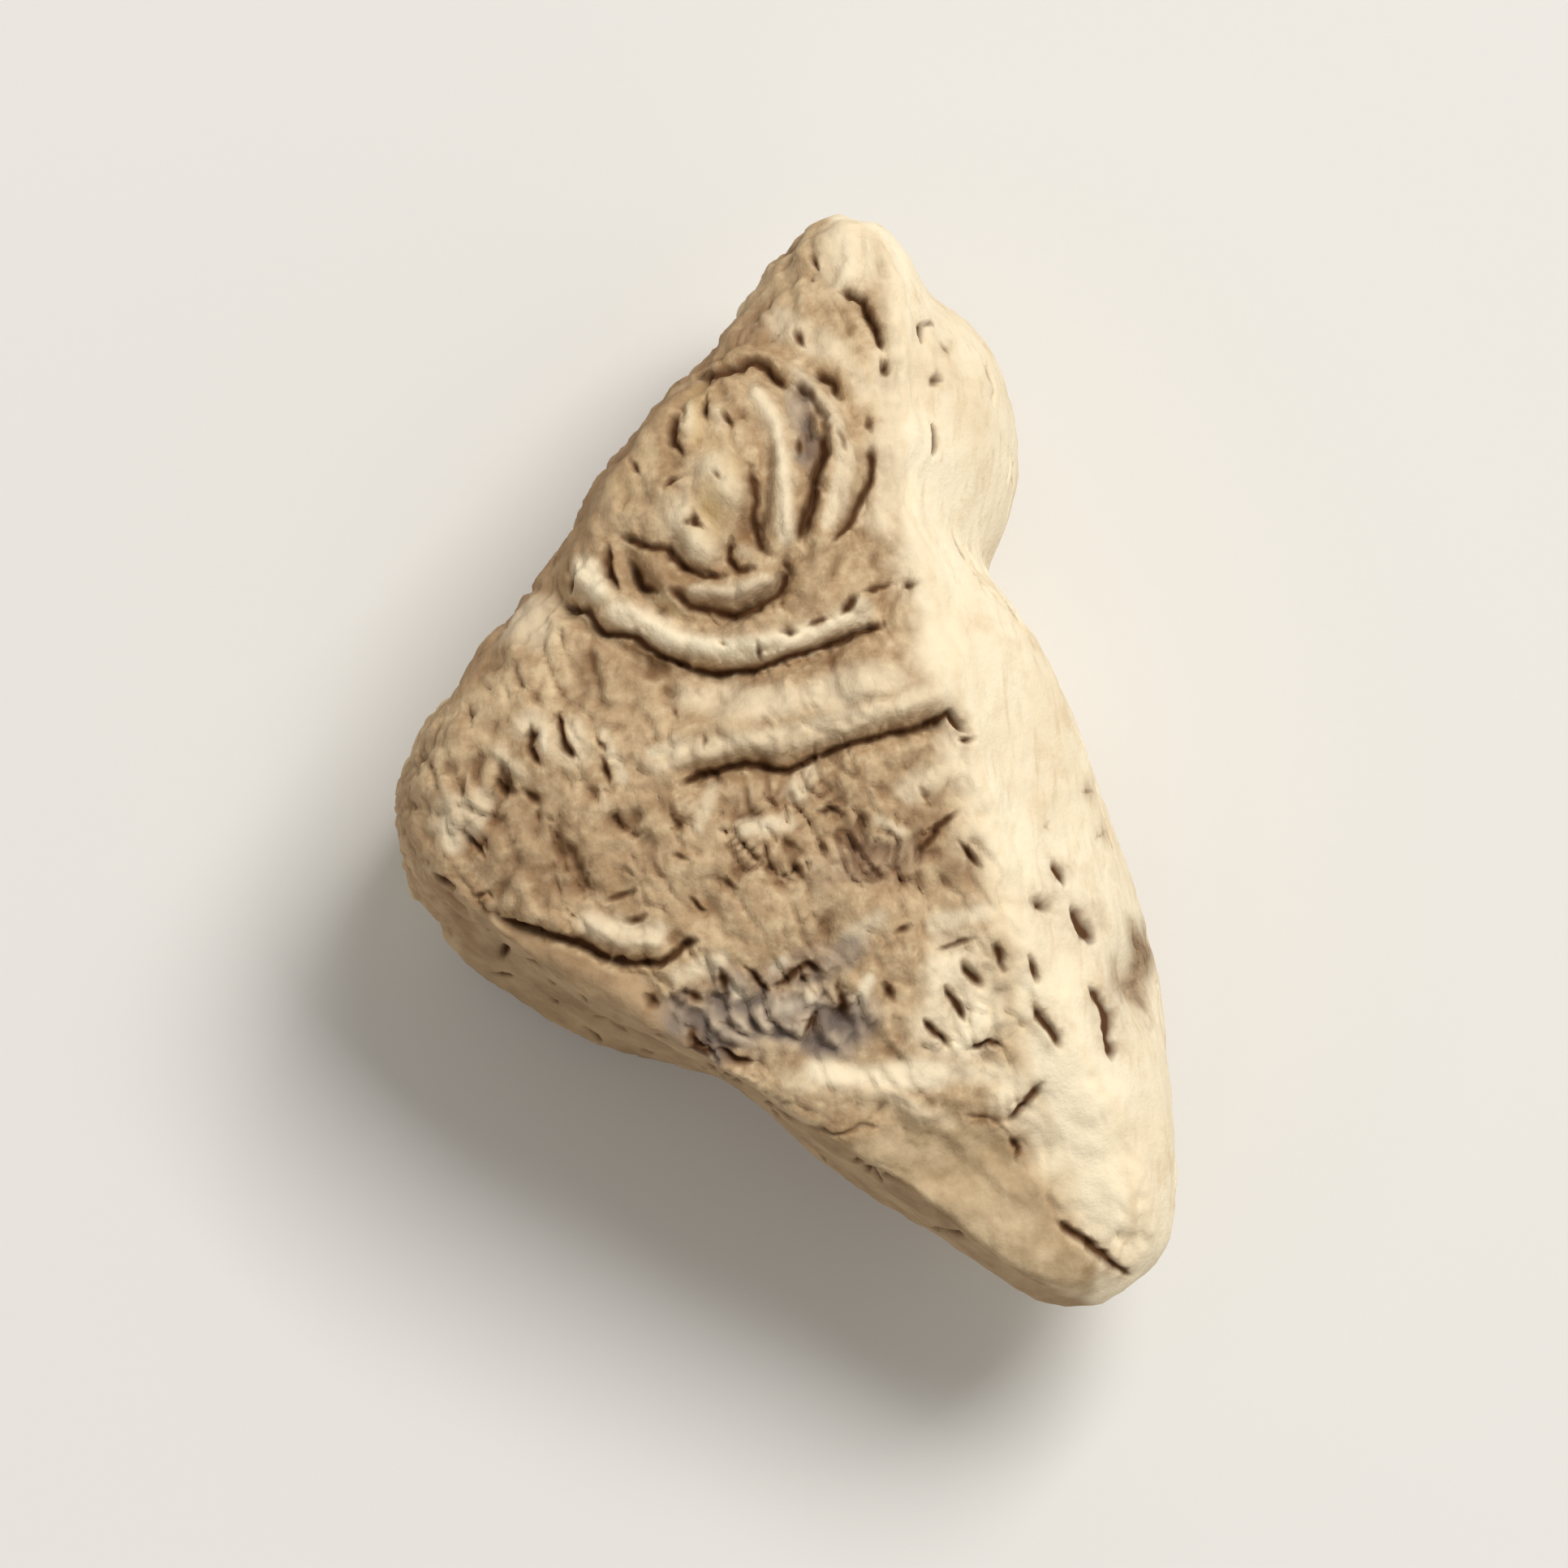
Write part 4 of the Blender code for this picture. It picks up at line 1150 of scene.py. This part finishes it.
def dried_rhizome():
    """Dull grey-tan bark over pale flesh; brown cracks, ochre scar, charcoal patches; painted shade and
    highlight.
    """
    material = bpy.data.materials.new("dried_rhizome")
    material.use_nodes = True
    shader = Shader(material)
    bark = shader.mask("bark")
    relief = shader.mask("relief")
    wide = shader.mottle(2.4, 3.0)
    middle = shader.mottle(0.75, 4.0)
    fine = shader.mottle(0.22, 4.0)
    streak = shader.mottle(0.20, 3.0, (1.0, 5.0, 1.0))

    flesh = shader.blend(shader.ramp(wide, 0.45, 0.70), linear(241, 226, 195), linear(228, 207, 171))
    flesh = shader.layers(
        flesh,
        (
            (middle, 0.52, 0.75, 0.60, (214, 187, 148)),
            (streak, 0.55, 0.72, 0.40, (202, 172, 130)),
        ),
    )
    skin = shader.blend(shader.ramp(middle, 0.38, 0.62), linear(178, 149, 113), linear(209, 182, 143))
    skin = shader.layers(
        skin,
        (
            (wide, 0.42, 0.62, 0.45, (170, 140, 106)),
            (fine, 0.50, 0.72, 0.60, (226, 202, 161)),
            (fine, 0.46, 0.30, 0.50, (142, 111, 78)),
            # painted highlight on the tops of the texture, then painted shade in its valleys
            (relief, 0.62, 0.95, 0.75, (238, 217, 179)),
            (relief, 0.42, 0.00, 0.85, (120, 88, 58)),
        ),
    )
    under_bark = shader.times(shader.ramp(bark, 0.02, 0.35), shader.ramp(bark, 0.95, 0.5))
    colour = shader.over(shader.blend(bark, flesh, skin), under_bark, 0.35, linear(206, 170, 118))

    # Darker tan on the facet near the tip, partly painted shade.
    tan = shader.blend(shader.ramp(middle, 0.35, 0.65), linear(206, 181, 144), linear(150, 125, 90))
    colour = shader.over(colour, shader.mask("tan"), 0.85, tan)
    # Painted shade, with a little browning of the dried cut, on the lower left cut and the faces turned from
    # the key light.
    painted_shade_and_browning = shader.blend(shader.ramp(middle, 0.35, 0.65), linear(172, 141, 103), linear(140, 110, 77))
    colour = shader.over(colour, shader.mask("painted_shade_and_browning"), 0.90, painted_shade_and_browning)
    # Brown mottling, partly painted shade such as the shadow along the top left edge.
    colour = shader.over(colour, shader.mask("brown"), 0.60, linear(142, 107, 74))
    ochre = shader.times(shader.mask("ochre"), shader.ramp(middle, 0.35, 0.6, 0.45, 1.0))
    colour = shader.over(colour, ochre, 0.60, linear(198, 167, 115))
    # Pale tissue, with painted highlight on ridges, lips and rims.
    colour = shader.over(colour, shader.mask("pale"), 0.82, linear(246, 229, 195))
    charcoal = shader.mask("charcoal")
    colour = shader.over(colour, charcoal, 0.55, linear(182, 166, 150))
    # The charcoal is darker in its valleys: its own dark lines, with painted shade.
    dark_charcoal = shader.times(charcoal, shader.ramp(relief, 0.15, 0.85, 1.0, 0.10))
    colour = shader.over(colour, dark_charcoal, 0.85, linear(104, 92, 84))
    # Painted shade in the nick.
    nick = shader.blend(shader.ramp(fine, 0.35, 0.65), linear(122, 98, 74), linear(172, 146, 114))
    colour = shader.over(colour, shader.mask("nick"), 0.85, nick)
    # A soft brown halo round the thin lines.
    halo = shader.times(shader.mask("halo"), shader.ramp(fine, 0.30, 0.65, 1.0, 0.35))
    colour = shader.over(colour, halo, 0.62, linear(144, 108, 70))
    # Dark brown in the lines and pits: partly their own colour, partly painted shade.
    colour = shader.blend(shader.ramp(shader.mask("crack"), 0.22, 0.90), colour, linear(88, 58, 32))

    grain = shader.mottle(0.09, 3.0)
    wrinkled = shader.mottle(0.26, 4.0, (1.0, 1.6, 1.0))
    bumpy = shader.blend(shader.times(bark, 0.7), shader.times(grain, 0.4), shader.times(wrinkled, 1.4))
    bump = shader.node("ShaderNodeBump", {"Strength": 0.8, "Distance": 0.00006}, {"Height": bumpy})
    principled = material.node_tree.nodes["Principled BSDF"]
    principled.inputs["Metallic"].default_value = 0.0
    principled.inputs["Specular IOR Level"].default_value = 0.25
    links = material.node_tree.links
    links.new(colour, principled.inputs["Base Color"])
    links.new(shader.ramp(middle, 0.3, 0.7, 0.74, 0.92), principled.inputs["Roughness"])
    links.new(bump.outputs["Normal"], principled.inputs["Normal"])
    return material


chunk = bpy.data.objects.new("wild_yam_chunk", chunk_mesh())
chunk.data.materials.append(dried_rhizome())
bpy.context.scene.collection.objects.link(chunk)
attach(chunk, "root")
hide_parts("root_chunk")


# ---- The floor ----
# A plain pale table, matt and wide enough to reach the edge of every view. It is one flat square at the
# height that the chunk rests on.

FLOOR_WIDTH = 3.0
FLOOR_COLOUR = linear(224, 221, 215)
FLOOR_ROUGHNESS = 0.9


def floor_mesh():
    """A flat square at resting height."""
    half = 0.5 * FLOOR_WIDTH
    corners = [(-half, -half, 0.0), (half, -half, 0.0), (half, half, 0.0), (-half, half, 0.0)]
    mesh = bpy.data.meshes.new("floor")
    mesh.from_pydata(corners, [], [(0, 1, 2, 3)])
    return mesh


floor = bpy.data.objects.new("floor", floor_mesh())
floor_paint = bpy.data.materials.new("pale_floor")
floor_paint.use_nodes = True
floor_shader = floor_paint.node_tree.nodes["Principled BSDF"]
floor_shader.inputs["Base Color"].default_value = FLOOR_COLOUR
floor_shader.inputs["Roughness"].default_value = FLOOR_ROUGHNESS
floor.data.materials.append(floor_paint)
bpy.context.scene.collection.objects.link(floor)


# ---- The light ----
# A soft key light from the upper right of the picture, a wide weak light from the left, and a pale room.
# Each row gives the light's direction from the chunk, its distance, its width and its power.

LIGHTS = {
    "key": ((0.36, 0.36, 0.86), 0.50, 0.22, 2.05),
    "fill": ((-0.7, -0.3, 0.6), 0.60, 0.60, 0.20),
}
ROOM_COLOUR = (1.0, 0.985, 0.96, 1.0)
ROOM_STRENGTH = 0.40


def studio_light(name, direction, distance, width, power):
    """A square soft light that faces the chunk."""
    lamp = bpy.data.lights.new(name, "AREA")
    lamp.size = width
    lamp.energy = power
    light = bpy.data.objects.new(name, lamp)
    away = Vector(direction).normalized()
    light.location = away * distance
    light.rotation_euler = away.to_track_quat("Z", "Y").to_euler()
    bpy.context.scene.collection.objects.link(light)


for name, (direction, distance, width, power) in LIGHTS.items():
    studio_light(name, direction, distance, width, power)

room = bpy.data.worlds.new("room")
room.use_nodes = True
room.node_tree.nodes["Background"].inputs["Color"].default_value = ROOM_COLOUR
room.node_tree.nodes["Background"].inputs["Strength"].default_value = ROOM_STRENGTH
bpy.context.scene.world = room
bpy.context.scene.view_settings.view_transform = "Standard"


# ---- The camera ----
# A long lens almost straight above the chunk, with the apex at the top of the picture. It stands at the
# same elevation as the fine lines were placed from.

CAMERA_LENS = 500.0
CAMERA_DISTANCE = 0.340
CAMERA_AIM = (0.0, -0.0003, 0.0045)

camera = bpy.data.objects.new("camera", bpy.data.cameras.new("camera"))
camera.data.lens = CAMERA_LENS
camera.data.clip_start = 0.005
camera.data.clip_end = 10.0
elevation = math.radians(VIEW_ELEVATION)
towards_camera = Vector((0.0, -math.cos(elevation), math.sin(elevation)))
camera.location = Vector(CAMERA_AIM) + towards_camera * CAMERA_DISTANCE
camera.rotation_euler = towards_camera.to_track_quat("Z", "Y").to_euler()
bpy.context.scene.collection.objects.link(camera)
bpy.context.scene.camera = camera
